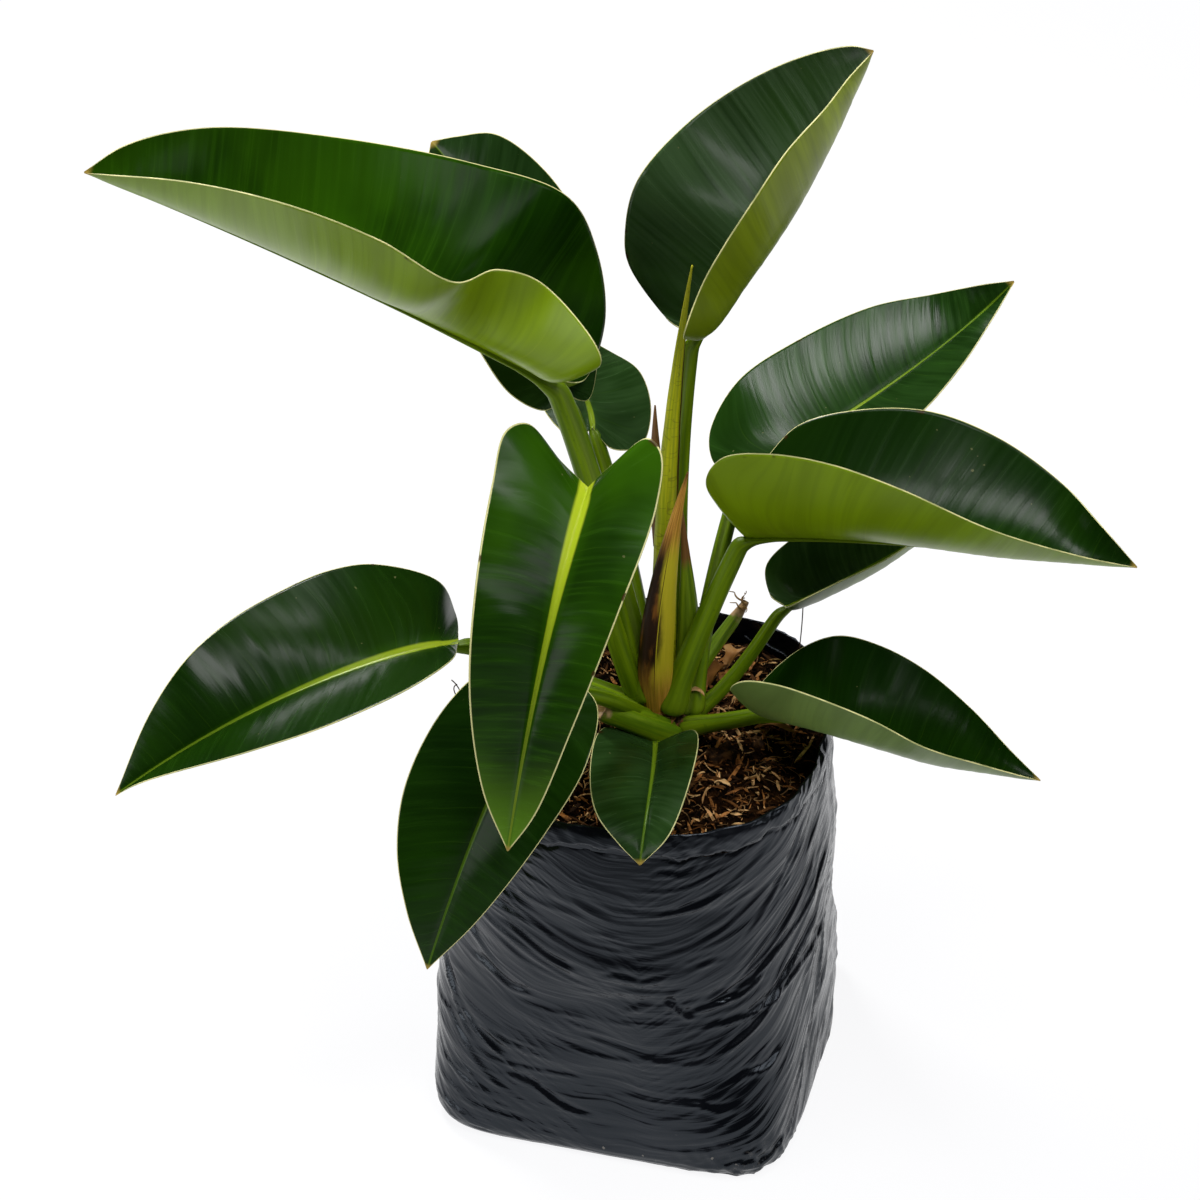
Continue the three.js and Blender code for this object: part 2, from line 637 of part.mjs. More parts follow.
function makeStalks(clearOf) {
  const zone = sheathZone();
  const wideZone = sheathZone(GAP);
  let crown = crownStump();
  const taken = [...clearOf];
  const solids = {};
  for (const [name, stalk] of Object.entries(STALKS)) {
    const whole = toSolid(stalkGeometry(stalk));
    const wide = toSolid(stalkGeometry(stalk, GAP));
    crown = crown.add(whole.intersect(zone));
    let outside = whole.subtract(wideZone);
    for (const other of taken) {
      outside = outside.subtract(other);
    }
    if (!outside.isEmpty()) {
      solids[name] = mainBody(outside);
      taken.push(wide);
    }
  }
  return { crown, solids };
}

function named(name, geometry, { color, roughness, metalness }) {
  const material = new THREE.MeshStandardMaterial({ color, roughness, metalness });
  const mesh = new THREE.Mesh(geometry, material);
  mesh.name = name;
  return mesh;
}

const STALK_COLOURS = {
  papery_sheath: COLOURS.papery,
  brown_scale: COLOURS.papery,
  rolled_leaf: COLOURS.young_leaf,
};

const group = new THREE.Group();
const bladeRooms = Object.values(LEAVES).map((leaf) => toSolid(bladeGeometry(leaf, GAP)));
const { crown, solids } = makeStalks(bladeRooms);
group.add(named('grow_bag', bagGeometry(), COLOURS.bag));
group.add(named('soil', toGeometry(soilSolid()), COLOURS.soil));
group.add(named('crown', toGeometry(mainBody(crown)), COLOURS.green_stalk));
for (const [name, solid] of Object.entries(solids)) {
  group.add(named(name, toGeometry(solid), STALK_COLOURS[name] ?? COLOURS.green_stalk));
}
for (const [name, leaf] of Object.entries(LEAVES)) {
  group.add(named(`blade_${name}`, bladeGeometry(leaf), COLOURS.blade));
}

export default group;
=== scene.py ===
# A congo green philodendron in a soft black nursery bag.
# Places are in millimetres in the part's own frame until a mesh is made: +Z up, the front faces -Y.

from math import cos, pi, radians, sin, tau

import bpy
import numpy as np
from mathutils import Matrix


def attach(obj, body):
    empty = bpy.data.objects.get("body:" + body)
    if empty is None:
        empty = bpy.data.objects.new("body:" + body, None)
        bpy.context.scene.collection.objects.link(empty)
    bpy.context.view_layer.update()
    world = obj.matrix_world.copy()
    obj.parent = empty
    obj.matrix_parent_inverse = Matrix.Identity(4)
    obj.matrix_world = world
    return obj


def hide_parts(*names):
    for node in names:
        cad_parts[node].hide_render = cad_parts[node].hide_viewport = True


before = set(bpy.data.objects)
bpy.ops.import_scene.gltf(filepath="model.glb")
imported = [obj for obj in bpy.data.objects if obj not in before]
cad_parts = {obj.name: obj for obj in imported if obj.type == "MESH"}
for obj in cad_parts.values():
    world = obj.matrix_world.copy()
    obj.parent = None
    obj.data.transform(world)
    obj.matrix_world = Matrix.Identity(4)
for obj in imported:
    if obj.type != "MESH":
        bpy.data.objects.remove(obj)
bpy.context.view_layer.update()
MM = 0.001

# Camera, at the photograph's height and distance
AIM = (-18.6, 0.0, 265.0)
CAMERA_DISTANCE = 1800.0
CAMERA_ELEVATION = radians(34.0)
LENS = 113.4
SENSOR_WIDTH = 36

# Lights, in metres: the place, the width and height, and the watts
LIGHTS = {"key": ((-0.69, 1.05, 1.8), (0.5, 0.45), 26),
          "front_top": ((0.5, -0.85, 2.0), (0.8, 0.7), 15),
          "above": ((-0.2, -0.05, 2.3), (0.8, 0.6), 14),
          "right": ((1.6, -0.7, 1.1), (0.5, 0.8), 4),
          "left": ((-1.75, -0.75, 0.7), (1.5, 1.0), 12)}
LIT_POINT = (0, 0, 0.25)
WORLD_STRENGTH = 0.035
FLOOR_WIDTH = 9

# Bag: its smooth wall
BAG_HEIGHT = 200.0
BAG_HALF_WIDTH = 93.0
BAG_YAW = radians(-15.3)
BAG_BELLY = 0.03
BELLY_SQUARENESS = 2.3
FOOT_SQUARENESS = 6.5
FOOT_RIGHT = 6.0
FOOT_LEFT = -9.0
FOOT_FRONT = 9.0
FOOT_BACK = -3.0
FOOT_FADE = 42.0
FOOT_FADE_POWER = 1.3
CORNER_TUCK = 0.06
CORNER_TUCK_AT = radians(32)
CORNER_TUCK_SPREAD = radians(20)
RIM_DRAWN_IN = 7.5
RIM_DRAWN_AT = radians(163)
RIM_DRAWN_SPREAD = radians(30)
RIM_DRAWN_FROM, RIM_DRAWN_FULL = 110, 195
RIM_WAVE = 3.5

# Bag: its film
FRONT = -pi / 2
FOOT_RISE = 1.2
FOOT_TUCK = 2.6
FOOT_RINGS = ((0.985, 0.4), (0.96, 0.0), (0.8, 0.0), (0.4, 0.0))
INSIDE_DROPS = (0.15, 1.2, 3.0, 6.0, 10.0, 15.0, 21.0, 28.0)
FILM_GAP = 0.7
DRAPE_DROP, DRAPE_SLANT = 47, 15
CUFF = 12.0
CUFF_RISE = 1.5
LIP = 3.5
HEM_RISE = 1.3
HEM_FOOT, HEM_TOP = (5.5, 7.0), (22, 40)
CRUMPLED_AT = radians(-63)
CRUMPLE_SPREAD, CRUMPLE_HEIGHT = 0.24, 15
SCUFFED_CORNER = (50, -99, 4)
PLEATED_SIDES = ((radians(-8), 3), (radians(172), 4))
PLEATS = 6
PLEAT_FADE = 12
STRANDS = 520
LOWEST_STRAND, HIGHEST_STRAND = -62, 190
DEPTH_LIMITS = (-3.6, 3.8)
BAG_SIDES, BAG_ROWS = 480, 190
FRONT_GATHER = 0.32

# Long creases across the front and its sides: the turn from the front in degrees and the height where each
# starts, the same where it ends, and how strong it is. Those with a strength below nothing are slits.
CREASES = [(78, 94, 13, 81, 1.1), (78, 145, 15, 88, 1.3), (66, 152, 28, 104, 0.9), (70, 120, 22, 66, 1.1),
           (84, 100, 48, 30, 0.8), (56, 176, 30, 128, 0.7), (40, 100, -6, 96, 0.6), (80, 70, 40, 24, 0.8),
           (-80, 150, -40, 96, 0.8), (-84, 120, -48, 50, 0.9), (-66, 170, -30, 138, 0.7),
           (-76, 90, -34, 44, 0.8), (-50, 128, -8, 100, 0.6), (-60, 60, -30, 22, 0.6),
           (-20, 70, 24, 62, 0.5), (13, 89, 38, 103, 1.5), (6, 98, 16, 88, 1.2), (-38, 42, -12, 26, -0.9),
           (3, 173, 17, 178, -0.6), (18, 10, 38, 14, -0.7), (-11, 114, 8, 116, -0.7),
           (-44, 132, -16, 114, -0.8), (-53, 101, -31, 92, -0.9), (24, 52, 40, 60, -0.7),
           (8, 44, 26, 42, -0.6)]

# Soil, and what lies on it
SOIL_LEVEL = 184.0
SOIL_MOUND = 5.0
MOUND_WIDTH = 40
SOIL_LUMP = 1.2
SOIL_HEAP = 8.0
HEAP_AT = (50, 50)
HEAP_WIDTH = 30
SOIL_RINGS, SOIL_SIDES = 130, 370
SOIL_GAP = 2.2
SOIL_SKIRT = 14
CROWN_CLEARANCE = 3
CRUMBS = ((9.0, 0.9), (5.2, 0.8), (3.1, 0.7), (1.9, 0.45))
CHIPS = 3000
WIDEST_CHIP = 1.7
FIBRES = 170
FIBRE_REACH = 0.93 * BAG_HALF_WIDTH
SCRAP_THICKNESS = 0.25
THIN_ROOT_RADIUS = 0.32

# Chunks of bark: where each lies, its size and its heading
BARK = [((40, -18, 183.5), (15, 10, 6.5), 0.5), ((58, -8, 183), (9, 6, 5), 1.7),
        ((24, -40, 183), (8, 6, 4), 0.9), ((52, 24, 183), (12, 8, 6), 2.4),
        ((-30, -22, 183), (10, 7, 5), 0.3), ((-40, 30, 183), (12, 8, 5), 1.2)]

# Dry leaf scraps: where each starts, its heading, length, width, curl and lift, and how pale it is
SCRAPS = [((43, 26, 207), 0.5, 24, 11, 1.5, 1.2, 0.62), ((34, 16, 203), 0.6, 22, 9, 1.0, 1.1, 0.3),
          ((44, 12, 203), 0.9, 20, 3.2, 0.6, 1.3, 0.9), ((32, -11, 216), 2.2, 18, 2.4, 0.8, 1.25, 0.8),
          ((38, 34, 192), 0.4, 30, 9, 1.2, 0.5, 0.4), ((46, 20, 190), 0.2, 26, 6, -1.1, 0.5, 0.35),
          ((60, 16, 189), 0.8, 26, 4, 0.9, 0.3, 0.6), ((56, 2, 188), 0.2, 22, 3.5, -0.8, 0.3, 0.5),
          ((30, -58, 187), 1.5, 24, 1.4, -0.7, 0.3, 0.7), ((50, -38, 187), 0.1, 13, 2.4, 0.7, 0.35, 0.75),
          ((44, -44, 187), 2.4, 9, 2.2, 0.9, 0.5, 0.8), ((58, -40, 187), 2.0, 8, 2.0, -0.9, 0.4, 0.7),
          ((-16, -24, 191), 2.6, 20, 4, 0.8, 0.4, 0.4), ((0, -13, 209), 0.5, 11, 5, 1.2, 0.9, 0.5),
          ((4, -15, 207), -0.3, 10, 5, 0.9, 0.8, 0.35), ((9, -16, 206), 1.2, 9, 4, -0.9, 0.9, 0.6),
          ((-4, -12, 208), 1.6, 10, 4, 1.0, 0.8, 0.3), ((15, -16, 203), 0.7, 11, 3, 1.0, 0.9, 0.55),
          ((18, -15, 201), 0.1, 10, 4, 1.1, 0.6, 0.25), ((26, -12, 199), 0.6, 9, 3, -1.0, 0.6, 0.45),
          ((-26, 4, 190), 2.2, 26, 5, -0.9, 0.3, 0.5), ((-36, -20, 189), 2.9, 18, 3, 1.4, 0.3, 0.5),
          ((-50, 10, 188), 2.0, 24, 4, 0.9, 0.3, 0.4)]

# Thin dry roots that stand up from the soil, each a cubic curve
THIN_ROOTS = [[(76, 26, 190), (78, 27, 206), (80, 28, 224), (80, 28, 242)],
              [(-84, 10, 188), (-88, 12, 200), (-92, 8, 208), (-88, 4, 213)],
              [(-82, 6, 188), (-85, 8, 200), (-86, 10, 207), (-91, 12, 210)],
              [(40, 30, 196), (38, 32, 212), (34, 34, 228), (30, 34, 240)]]

# Crown
CROWN = np.array([12.0, 0.0, 0.0])
CROWN_RADIUS = 14.0
CROWN_FROM, CROWN_TO = 166, 209

# Rolled leaf, sheaths and stubs: a cubic curve each, and radii from foot to end
ROLLED_LEAF = [(13, 8, 200), (10, 6, 284), (13, 6, 372), (23, 6, 443)], (5.4, 5.7, 4.9, 2.9, 0.45)
PAPERY_SHEATH = [(9, -8, 200), (5, -13, 250), (13, -14, 306), (22, -13, 345)], (4.4, 8.3, 7.7, 5.6, 3, 0.4)
SHORT_SHEATH = [(22, 6, 205), (26, 4, 250), (22, 8, 284), (20, 10, 310)], (4.2, 5.2, 4.6, 2.2, 0.5)
BROWN_SCALE = [(9, 12, 288), (8, 14, 318), (7, 15, 342), (7, 15, 364)], (2.2, 3.2, 2.4, 0.4)
CUT_STUB = [(18, -15, 196), (6, -22, 206), (-7, -25.5, 215), (-19, -29, 223.5)], (7, 6.9, 6.5, 6.3, 6.8)
OLD_STUB = [(22, 12, 202), (37, 30, 219), (47, 38, 226), (53, 42, 236)], (4.6, 3.9, 3.6, 3.5, 3.3, 1.6)
CUT_HOLLOW = ((0.82, 0.2), (0.72, 2.5), (0.4, 4.5))
SEAM_AT, SEAM_TURN = 1.15, 0.5
TUFT_AT = (52, 41, 233)
TUFT_THREADS = 6
TUFT_RADIUS = 0.7

# Leaf blades
BLADE_THICKNESS = 0.55
ROOT_HALF_WIDTH = 3.2
TIP_HALF_WIDTH = 0.5
LOBE_SHARE = 0.16
ROOT_PART = 0.06
VEIN_SWEEP = 0.042
HALF_BLADE_COLUMNS = 22
BLADE_ROWS_PER_MM = 1.15
FEWEST_ROWS, MOST_ROWS = 70, 190
USUAL_LOOK = dict(rows=16, under="lime", edge=0.3, relief=0.12, tip_fresh_and_sheen=0.0, mid=1.0, painted_sheen=0.0,
                  under_gloss=0.12)

# Each blade has its midrib as the four points of a cubic curve, and its margins as points that a smooth
# line runs through. Left and right are seen from the root, with the upper face up. The cup says how deep
# the blade is hollowed at the root, in the middle and at the tip, and what follows is its look.
LEAVES = {
    "upper_left": dict(
        rib=[(-40, 0, 386), (-93, -10, 422), (-171, -20, 473), (-243, -25, 506)],
        left=[(-18, -36, 420), (-43, -14, 444), (-64, -28, 460), (-82, -50, 466), (-113, -60, 492),
              (-149, -63, 510), (-195, -41, 510)],
        right=[(-23, 56, 358), (-16, 67, 380), (-20, 68, 417), (-35, 56, 453), (-78, 62, 466),
               (-141, 51, 485), (-195, 8, 511), (-226, -15, 514)],
        cup=(0.12, 0.1, 0.06), rows=18, fresh=0.5, rib_glow=0.25, rib_width=2.4, edge=0.35, relief=0.08,
        gloss=0.04, under_gloss=0.35),
    "top": dict(
        rib=[(24, 20, 399), (46, 20, 416), (77, 22, 477), (102, 25, 540)],
        left=[(10, 64, 386), (-5, 75, 405), (-7, 73, 424), (-1, 69, 454), (22, 75, 480), (58, 58, 515),
              (92, 30, 540)],
        right=[(19, -24, 426), (26, -23, 448), (35, -29, 471), (48, -33, 497), (62, -26, 517),
               (79, -9, 529), (91, 11, 535)],
        cup=(0.12, 0.12, 0.08), under="olive", fresh=0.4, rib_glow=0.2, rib_width=1.6, gloss=0.4,
        painted_sheen=0.7),
    "upper_right": dict(
        rib=[(51, 56, 302), (79, 72, 307), (141, 110, 327), (183, 120, 371)],
        left=[(37, 84, 290), (36, 105, 296), (50, 122, 314), (81, 139, 328), (116, 148, 341),
              (145, 141, 352), (169, 121, 369)],
        right=[(43, 40, 300), (57, 33, 297), (102, 47, 308), (136, 61, 333), (155, 78, 348),
               (170, 104, 356)],
        cup=(0, -0.03, -0.02), under="grey", fresh=0.12, rib_glow=0.45, rib_width=1.2, relief=0.25,
        gloss=0.05, painted_sheen=0.12),
    "right": dict(
        rib=[(50, 8, 296), (104, -2, 304), (168, -14, 302), (232, -22, 298)],
        left=[(46, 30, 299), (62, 51, 314), (77, 57, 328), (106, 56, 337), (139, 51, 339),
              (171, 40, 331), (199, 18, 320), (215, -10, 314)],
        right=[(31, -2, 332), (38, -10, 351), (59, -21, 360), (86, -33, 362), (117, -46, 357),
               (159, -49, 337), (203, -33, 312)],
        cup=(0.12, 0.12, 0.08), fresh=0.1, rib_glow=0.15, rib_width=1.8, gloss=0.16, mid=0.35,
        under_gloss=0.2),
    # This leaf lies in the shade of the one above; its fresh tone and painted sheen are raised as painted
    # light in place of the light that does not reach it.
    "middle_right": dict(
        rib=[(71, 25, 245), (93, 30, 252), (123, 45, 260), (159, 58, 279)],
        left=[(64, 46, 239), (63, 57, 247), (77, 66, 258), (104, 72, 271), (133, 63, 283)],
        right=[(72, 1, 261), (78, -2, 267), (93, 1, 274), (115, 12, 279), (138, 36, 279)],
        cup=(0.1, 0.1, 0.06), rows=12, under="grey", fresh=0.5, rib_glow=0.45, rib_width=1.2, gloss=0.06,
        painted_sheen=0.6),
    "lower_right": dict(
        rib=[(62, -28, 219), (100, -38, 214), (146, -58, 211), (188, -70, 210)],
        left=[(56, 6, 204), (62, 16, 208), (79, 16, 226), (97, 8, 239), (116, 1, 238), (137, -9, 231),
              (158, -28, 222), (175, -54, 216)],
        right=[(43, -41, 242), (49, -51, 254), (63, -58, 257), (83, -68, 256), (108, -79, 251),
               (131, -84, 240), (161, -77, 224)],
        cup=(0.12, 0.12, 0.08), rows=14, under="grey", fresh=0.05, rib_glow=0.15, rib_width=1.2, gloss=0.07,
        mid=0.4, under_gloss=0.25),
    "front_small": dict(
        rib=[(8, -28, 201), (7, -62, 207), (1, -106, 210), (0, -110, 191)],
        left=[(21, -28, 208), (27, -36, 214), (25, -72, 219), (13, -107, 206)],
        right=[(-6, -26, 207), (-17, -32, 213), (-23, -62, 215), (-20, -100, 213), (-10, -108, 202)],
        cup=(-0.02, -0.04, -0.02), rows=12, fresh=0.15, rib_glow=0.25, rib_width=0.9, gloss=0.16,
        relief=0.1, painted_sheen=0.3),
    "front": dict(
        rib=[(-24, -45, 357), (-39, -92, 332), (-52, -120, 276), (-61, -120, 207)],
        left=[(-13, -38, 365), (3, -40, 380), (9, -46, 376), (7, -62, 358), (-10, -98, 325),
              (-31, -116, 273), (-48, -120, 228)],
        right=[(-36, -36, 365), (-51, -34, 384), (-61, -42, 385), (-67, -60, 368), (-74, -102, 339),
               (-77, -118, 296), (-72, -120, 242)],
        cup=(-0.02, -0.05, -0.03), fresh=0.8, rib_glow=1.0, rib_width=5.2, edge=0.85, tip_fresh_and_sheen=0.75,
        gloss=0.16),
    "left": dict(
        rib=[(-86, -12, 249), (-123, -20, 250), (-193, -45, 233), (-248, -60, 194)],
        left=[(-89, -50, 264), (-108, -68, 261), (-143, -83, 252), (-179, -84, 238), (-236, -64, 204)],
        right=[(-89, 28, 239), (-96, 33, 253), (-127, 31, 265), (-149, 24, 266), (-172, 12, 262),
               (-196, -7, 257), (-215, -28, 249), (-232, -41, 227)],
        cup=(0, -0.05, -0.03), under="grey", fresh=0.15, rib_glow=0.55, rib_width=4.6, edge=0.35, gloss=0.2,
        mid=0.4),
    "lower_left": dict(
        rib=[(-44, -58, 251), (-65, -90, 237), (-86, -112, 184), (-100, -114, 132)],
        left=[(-30, -54, 254), (-20, -66, 251), (-25, -94, 237), (-44, -110, 209), (-75, -115, 163)],
        right=[(-58, -52, 262), (-74, -56, 262), (-93, -68, 247), (-109, -88, 221), (-113, -102, 194),
               (-109, -112, 166)],
        cup=(-0.02, -0.05, -0.02), rows=14, fresh=0.1, rib_glow=0.12, rib_width=1.4, edge=0.4, gloss=0.14,
        mid=0.6),
    "back_left": dict(
        rib=[(-35, 40, 355), (-39, 58, 371), (-66, 88, 425), (-98, 108, 453)],
        left=[(-44, 32, 351), (-60, 34, 358), (-76, 48, 375), (-91, 70, 394), (-100, 90, 418),
              (-101, 104, 440)],
        right=[(-24, 52, 345), (-20, 66, 354), (-19, 86, 380), (-29, 106, 412), (-45, 118, 433),
               (-68, 120, 451), (-86, 114, 453)],
        cup=(0, -0.03, -0.02), rows=14, fresh=0.05, rib_glow=0.3, rib_width=1.4, edge=0.4, gloss=0.12,
        mid=0.5, painted_sheen=0.15),
    "back": dict(
        rib=[(-22, 46, 333), (-22, 60, 343), (-36, 90, 350), (-61, 108, 355)],
        left=[(-30, 40, 330), (-40, 50, 332), (-50, 72, 336), (-61, 94, 348)],
        right=[(-13, 40, 325), (1, 46, 323), (6, 62, 332), (1, 84, 341), (-13, 102, 342),
               (-38, 110, 351)],
        cup=(0, -0.03, -0.02), rows=12, fresh=0.1, rib_glow=0.3, rib_width=1.4, edge=0.4, gloss=0.15,
        painted_sheen=0.35),
}

# Leaf stalks: a cubic curve from the crown to the blade's root, radii from foot to end, and the way that
# the channel along the stalk faces. Each runs on into the midrib of the blade of the same name.
STALKS = {
    "upper_left": ([(5, -6, 211), (-8, 2, 259), (-19, 0, 329), (-40, 0, 386)],
                   (7.4, 6.4, 6, 5.8, 5.2), (0.35, -0.6, 0.5)),
    "top": ([(20, 18, 198), (19, 20, 252), (16, 22, 319), (24, 20, 399)],
            (6.4, 5.2, 4.4, 4, 3.8), (-0.5, -0.8, 0)),
    "upper_right": ([(25, -7, 202), (31, 12, 246), (41, 42, 276), (50, 55, 300)],
                    (6, 4.4, 4, 3.7), (0, 0, 1)),
    "right": ([(15, -10, 206), (24, -6, 240), (42, 2, 280), (50, 8, 297)],
              (6.8, 5.4, 4.7, 4.3), (-0.3, 0.9, 0.4)),
    "middle_right": ([(20, 4, 190), (45, 14, 200), (59, 20, 228), (71, 25, 245)],
                     (4, 3.5, 3.2, 3), (0, 0, 1)),
    "lower_right": ([(20, -12, 198), (32, -16, 204), (48, -22, 210), (62, -28, 219)],
                    (4.8, 4.2, 4, 3.8), (0, 0, 1)),
    "front_small": ([(13, -4, 194), (11, -16, 196), (8, -22, 198), (8, -28, 201)],
                    (3.6, 3.2, 2.8), (0, 0, 1)),
    "front": ([(4, -4, 200), (-13, -10, 249), (-23, -28, 306), (-24, -44, 357)],
              (6, 5, 4.4, 4), (0, 0.8, 0.6)),
    "left": ([(2, -8, 205), (-20, -8, 222), (-57, -10, 234), (-86, -12, 249)],
             (5.8, 4.8, 4.2, 4), (0, 0, 1)),
    "lower_left": ([(6, -6, 198), (-10, -34, 232), (-33, -54, 254), (-44, -58, 251)],
                   (5, 4.2, 3.8, 3.6), (0, 0, 1)),
    "back_left": ([(2, 8, 196), (-17, 25, 236), (-13, 34, 300), (-34, 39, 353)],
                  (5.4, 4.3, 3.8, 3.5), (0, -1, 0.3)),
    "back": ([(8, 14, 200), (0, 20, 252), (-10, 38, 298), (-22, 46, 333)],
             (5.2, 4.2, 3.8, 3.4), (0, -1, 0.3)),
}

# How the raised midrib thins out under a blade, as shares of the stalk's last radius
RIB_SHARES = (0, 0.025, 0.08, 0.3, 0.7, 1)
RIB_RADII = (0.8, 0.42, 0.26, 0.17, 0.1, 0.04)
RIB_END = 0.97
RIB_SINK = 0.15
JOINT_GAP = 3
STALK_STEP = 1.6

# Colours; where a name holds two, a noise goes from one to the other
DEEP_GREEN = (0.0038, 0.0195, 0.0009)
MID_GREEN = (0.0095, 0.045, 0.0012)
FRESH_GREEN = (0.035, 0.12, 0.0014)
# lighter green at the tip: partly a fresher tip, partly a painted sheen where the front leaf's tip faces the
# pale floor
TIP_GREEN_AND_SHEEN = (0.15, 0.34, 0.01)
TIP_TAN = (0.42, 0.3, 0.06)
# a pale grey-green painted sheen, laid into the upper faces where their gloss would show a pale veil
PAINTED_SHEEN_GREY = (0.055, 0.1, 0.042)
RIB_LIME = (0.6, 0.74, 0.03)
RIB_GREEN = (0.05, 0.13, 0.006)
# the margin's cream, its own pale colour brightened by painted light shining through the thin edge
CREAM_LIT_THROUGH = (0.88, 0.84, 0.38)
MARGIN_OLIVE = (0.5, 0.52, 0.2)
FLECK_TAN = (0.2, 0.2, 0.08)
NICK_BROWN = (0.05, 0.018, 0.006)
# Underside greens near the root and further along: partly their own paler colour, partly painted light that
# shines through the thin blade
UNDERSIDES_LIT_THROUGH = {"lime": ((0.27, 0.42, 0.0015), (0.19, 0.31, 0.006)),
              "olive": ((0.17, 0.24, 0.002), (0.28, 0.37, 0.008)),
              "grey": ((0.16, 0.25, 0.055), (0.15, 0.235, 0.055))}
STALK_DARK = (0.07, 0.14, 0.0012)
STALK_LIGHT = (0.21, 0.33, 0.003)
STALK_FOOT = (0.2, 0.27, 0.012)
STALK_CHANNEL = (0.16, 0.22, 0.04)
STALK_RIB = (0.16, 0.25, 0.003)
YOUNG_TONES = (0.32, 0.38, 0.006), (0.58, 0.58, 0.01)
YOUNG_TIP = (0.46, 0.4, 0.03)
YOUNG_SEAM = (0.05, 0.02, 0.006)
YOUNG_SCAR = (0.09, 0.08, 0.01)
SHEATH_TANS = (0.3, 0.1, 0.008), (0.8, 0.42, 0.07)
SHEATH_YELLOWS = (0.46, 0.41, 0.006), (0.68, 0.56, 0.03)
SHEATH_DARKS = (0.02, 0.006, 0.001), (0.2, 0.07, 0.008)
SHEATH_TIP = (0.09, 0.03, 0.008)
SHORT_GREENS = (0.09, 0.17, 0.005), (0.22, 0.33, 0.012)
SHORT_BROWNS = (0.12, 0.04, 0.01), (0.34, 0.17, 0.05)
SCALE_TONES = (0.1, 0.03, 0.01), (0.4, 0.2, 0.08)
STUB_GREENS = (0.095, 0.19, 0.003), (0.24, 0.36, 0.006)
STUB_BROWNS = (0.05, 0.018, 0.005), (0.62, 0.4, 0.2)
DRIED_TONES = (0.08, 0.033, 0.011), (0.5, 0.29, 0.12)
ROOT_TONES = (0.03, 0.012, 0.006), (0.12, 0.06, 0.03)
SOIL_TONES = (0.003, 0.0014, 0.0005), (0.04, 0.015, 0.004)
SOIL_PALE = (0.16, 0.085, 0.035)
CHIP_TONES = (0.012, 0.0045, 0.0012), (0.46, 0.18, 0.048)
CHIP_PALE = (1.0, 0.6, 0.26)
CHIP_GRAIN = (0.035, 0.014, 0.005)
BARK_TONES = (0.012, 0.005, 0.0018), (0.13, 0.058, 0.018)
SCRAP_TONES = (0.022, 0.008, 0.0025), (0.36, 0.15, 0.036)
SCRAP_PALE = (0.85, 0.56, 0.26)
FILM_TONES = (0.0018, 0.0022, 0.0036), (0.006, 0.0065, 0.009)
FILM_SPECK = (0.3, 0.27, 0.23)
FILM_SCUFF = (0.24, 0.22, 0.2)
FILM_TINT = (0.76, 0.87, 1.0)
FLOOR_TONES = (0.12, 0.12, 0.121), (0.13, 0.13, 0.131)
# the floor's painted glow, from its dim edges to its bright middle
FLOOR_GLOWS = (0.22, 0.22, 0.225), (0.9, 0.9, 0.91)


# Curves

def unit(v):
    return v / np.maximum(np.linalg.norm(v, axis=-1, keepdims=True), 1e-9)


def cubic(points, count):
    """A number of points along a cubic curve."""
    a, b, c, d = np.asarray(points, float)
    t = np.linspace(0, 1, count)[:, None]
    return (1 - t)**3 * a + 3 * (1 - t)**2 * t * b + 3 * (1 - t) * t**2 * c + t**3 * d


def smooth_line(points, steps=30):
    """A centripetal Catmull-Rom line through the points."""
    p = np.asarray(points, float)
    p = np.vstack([2 * p[0] - p[1], p, 2 * p[-1] - p[-2]])
    t = np.linspace(0, 1, steps, endpoint=False)[:, None]
    out = []
    for a, b, c, d in zip(p, p[1:], p[2:], p[3:]):
        before, here, after = (np.linalg.norm(y - x)**0.5 for x, y in ((a, b), (b, c), (c, d)))
        start = ((b - a) / before - (c - a) / (before + here) + (c - b) / here) * here
        end = ((c - b) / here - (d - b) / (here + after) + (d - c) / after) * here
        bend = 3 * (c - b) - 2 * start - end
        out.append(b + start * t + bend * t**2 + (2 * (b - c) + start + end) * t**3)
    return np.vstack([*out, p[-2:-1]])


def run_of(line):
    """Distance along a line at each of its points."""
    return np.concatenate([[0], np.cumsum(np.linalg.norm(np.diff(line, axis=0), axis=1))])


def read_off(x, known, rows):
    """Points of a line, read off between the known stations."""
    return np.stack([np.interp(x, known, rows[:, k]) for k in range(3)], -1)


def at_share(line, shares):
    run = run_of(line)
    return read_off(np.asarray(shares) * run[-1], run, line)


def spread_over(shares, numbers):
    """Numbers spread evenly over a length, read off at shares of it."""
    return np.interp(shares, np.linspace(0, 1, len(numbers)), numbers)


def soften(values, passes):
    """Steadies values along their first axis, with both ends kept."""
    values = np.array(values, float)
    for _ in range(passes):
        values[1:-1] = (values[:-2] + 2 * values[1:-1] + values[2:]) / 4
    return values


def ease(x, low, high):
    x = np.clip((x - low) / (high - low), 0, 1)
    return x * x * (3 - 2 * x)


def bell(x, width):
    return np.exp(-(x / width)**2)


def around(angle, centre=0.0):
    """Signed turn from a direction, within half a turn."""
    return (angle - centre + pi) % tau - pi


def about_axis(radius, angle, z):
    """Points at a distance and a turn from an upright axis."""
    return np.stack(np.broadcast_arrays(radius * np.cos(angle), radius * np.sin(angle), z), -1)


def wave_noise(x, seed, lengths=(13.0, 8.1, 5.3), sizes=(1.0, 0.7, 0.45)):
    """A smooth wandering value along x, from a few waves of unlike lengths."""
    phases = np.random.default_rng(seed).uniform(0, tau, len(lengths))
    return sum(a * np.sin(tau * x / w + p) for w, a, p in zip(lengths, sizes, phases))


# Meshes

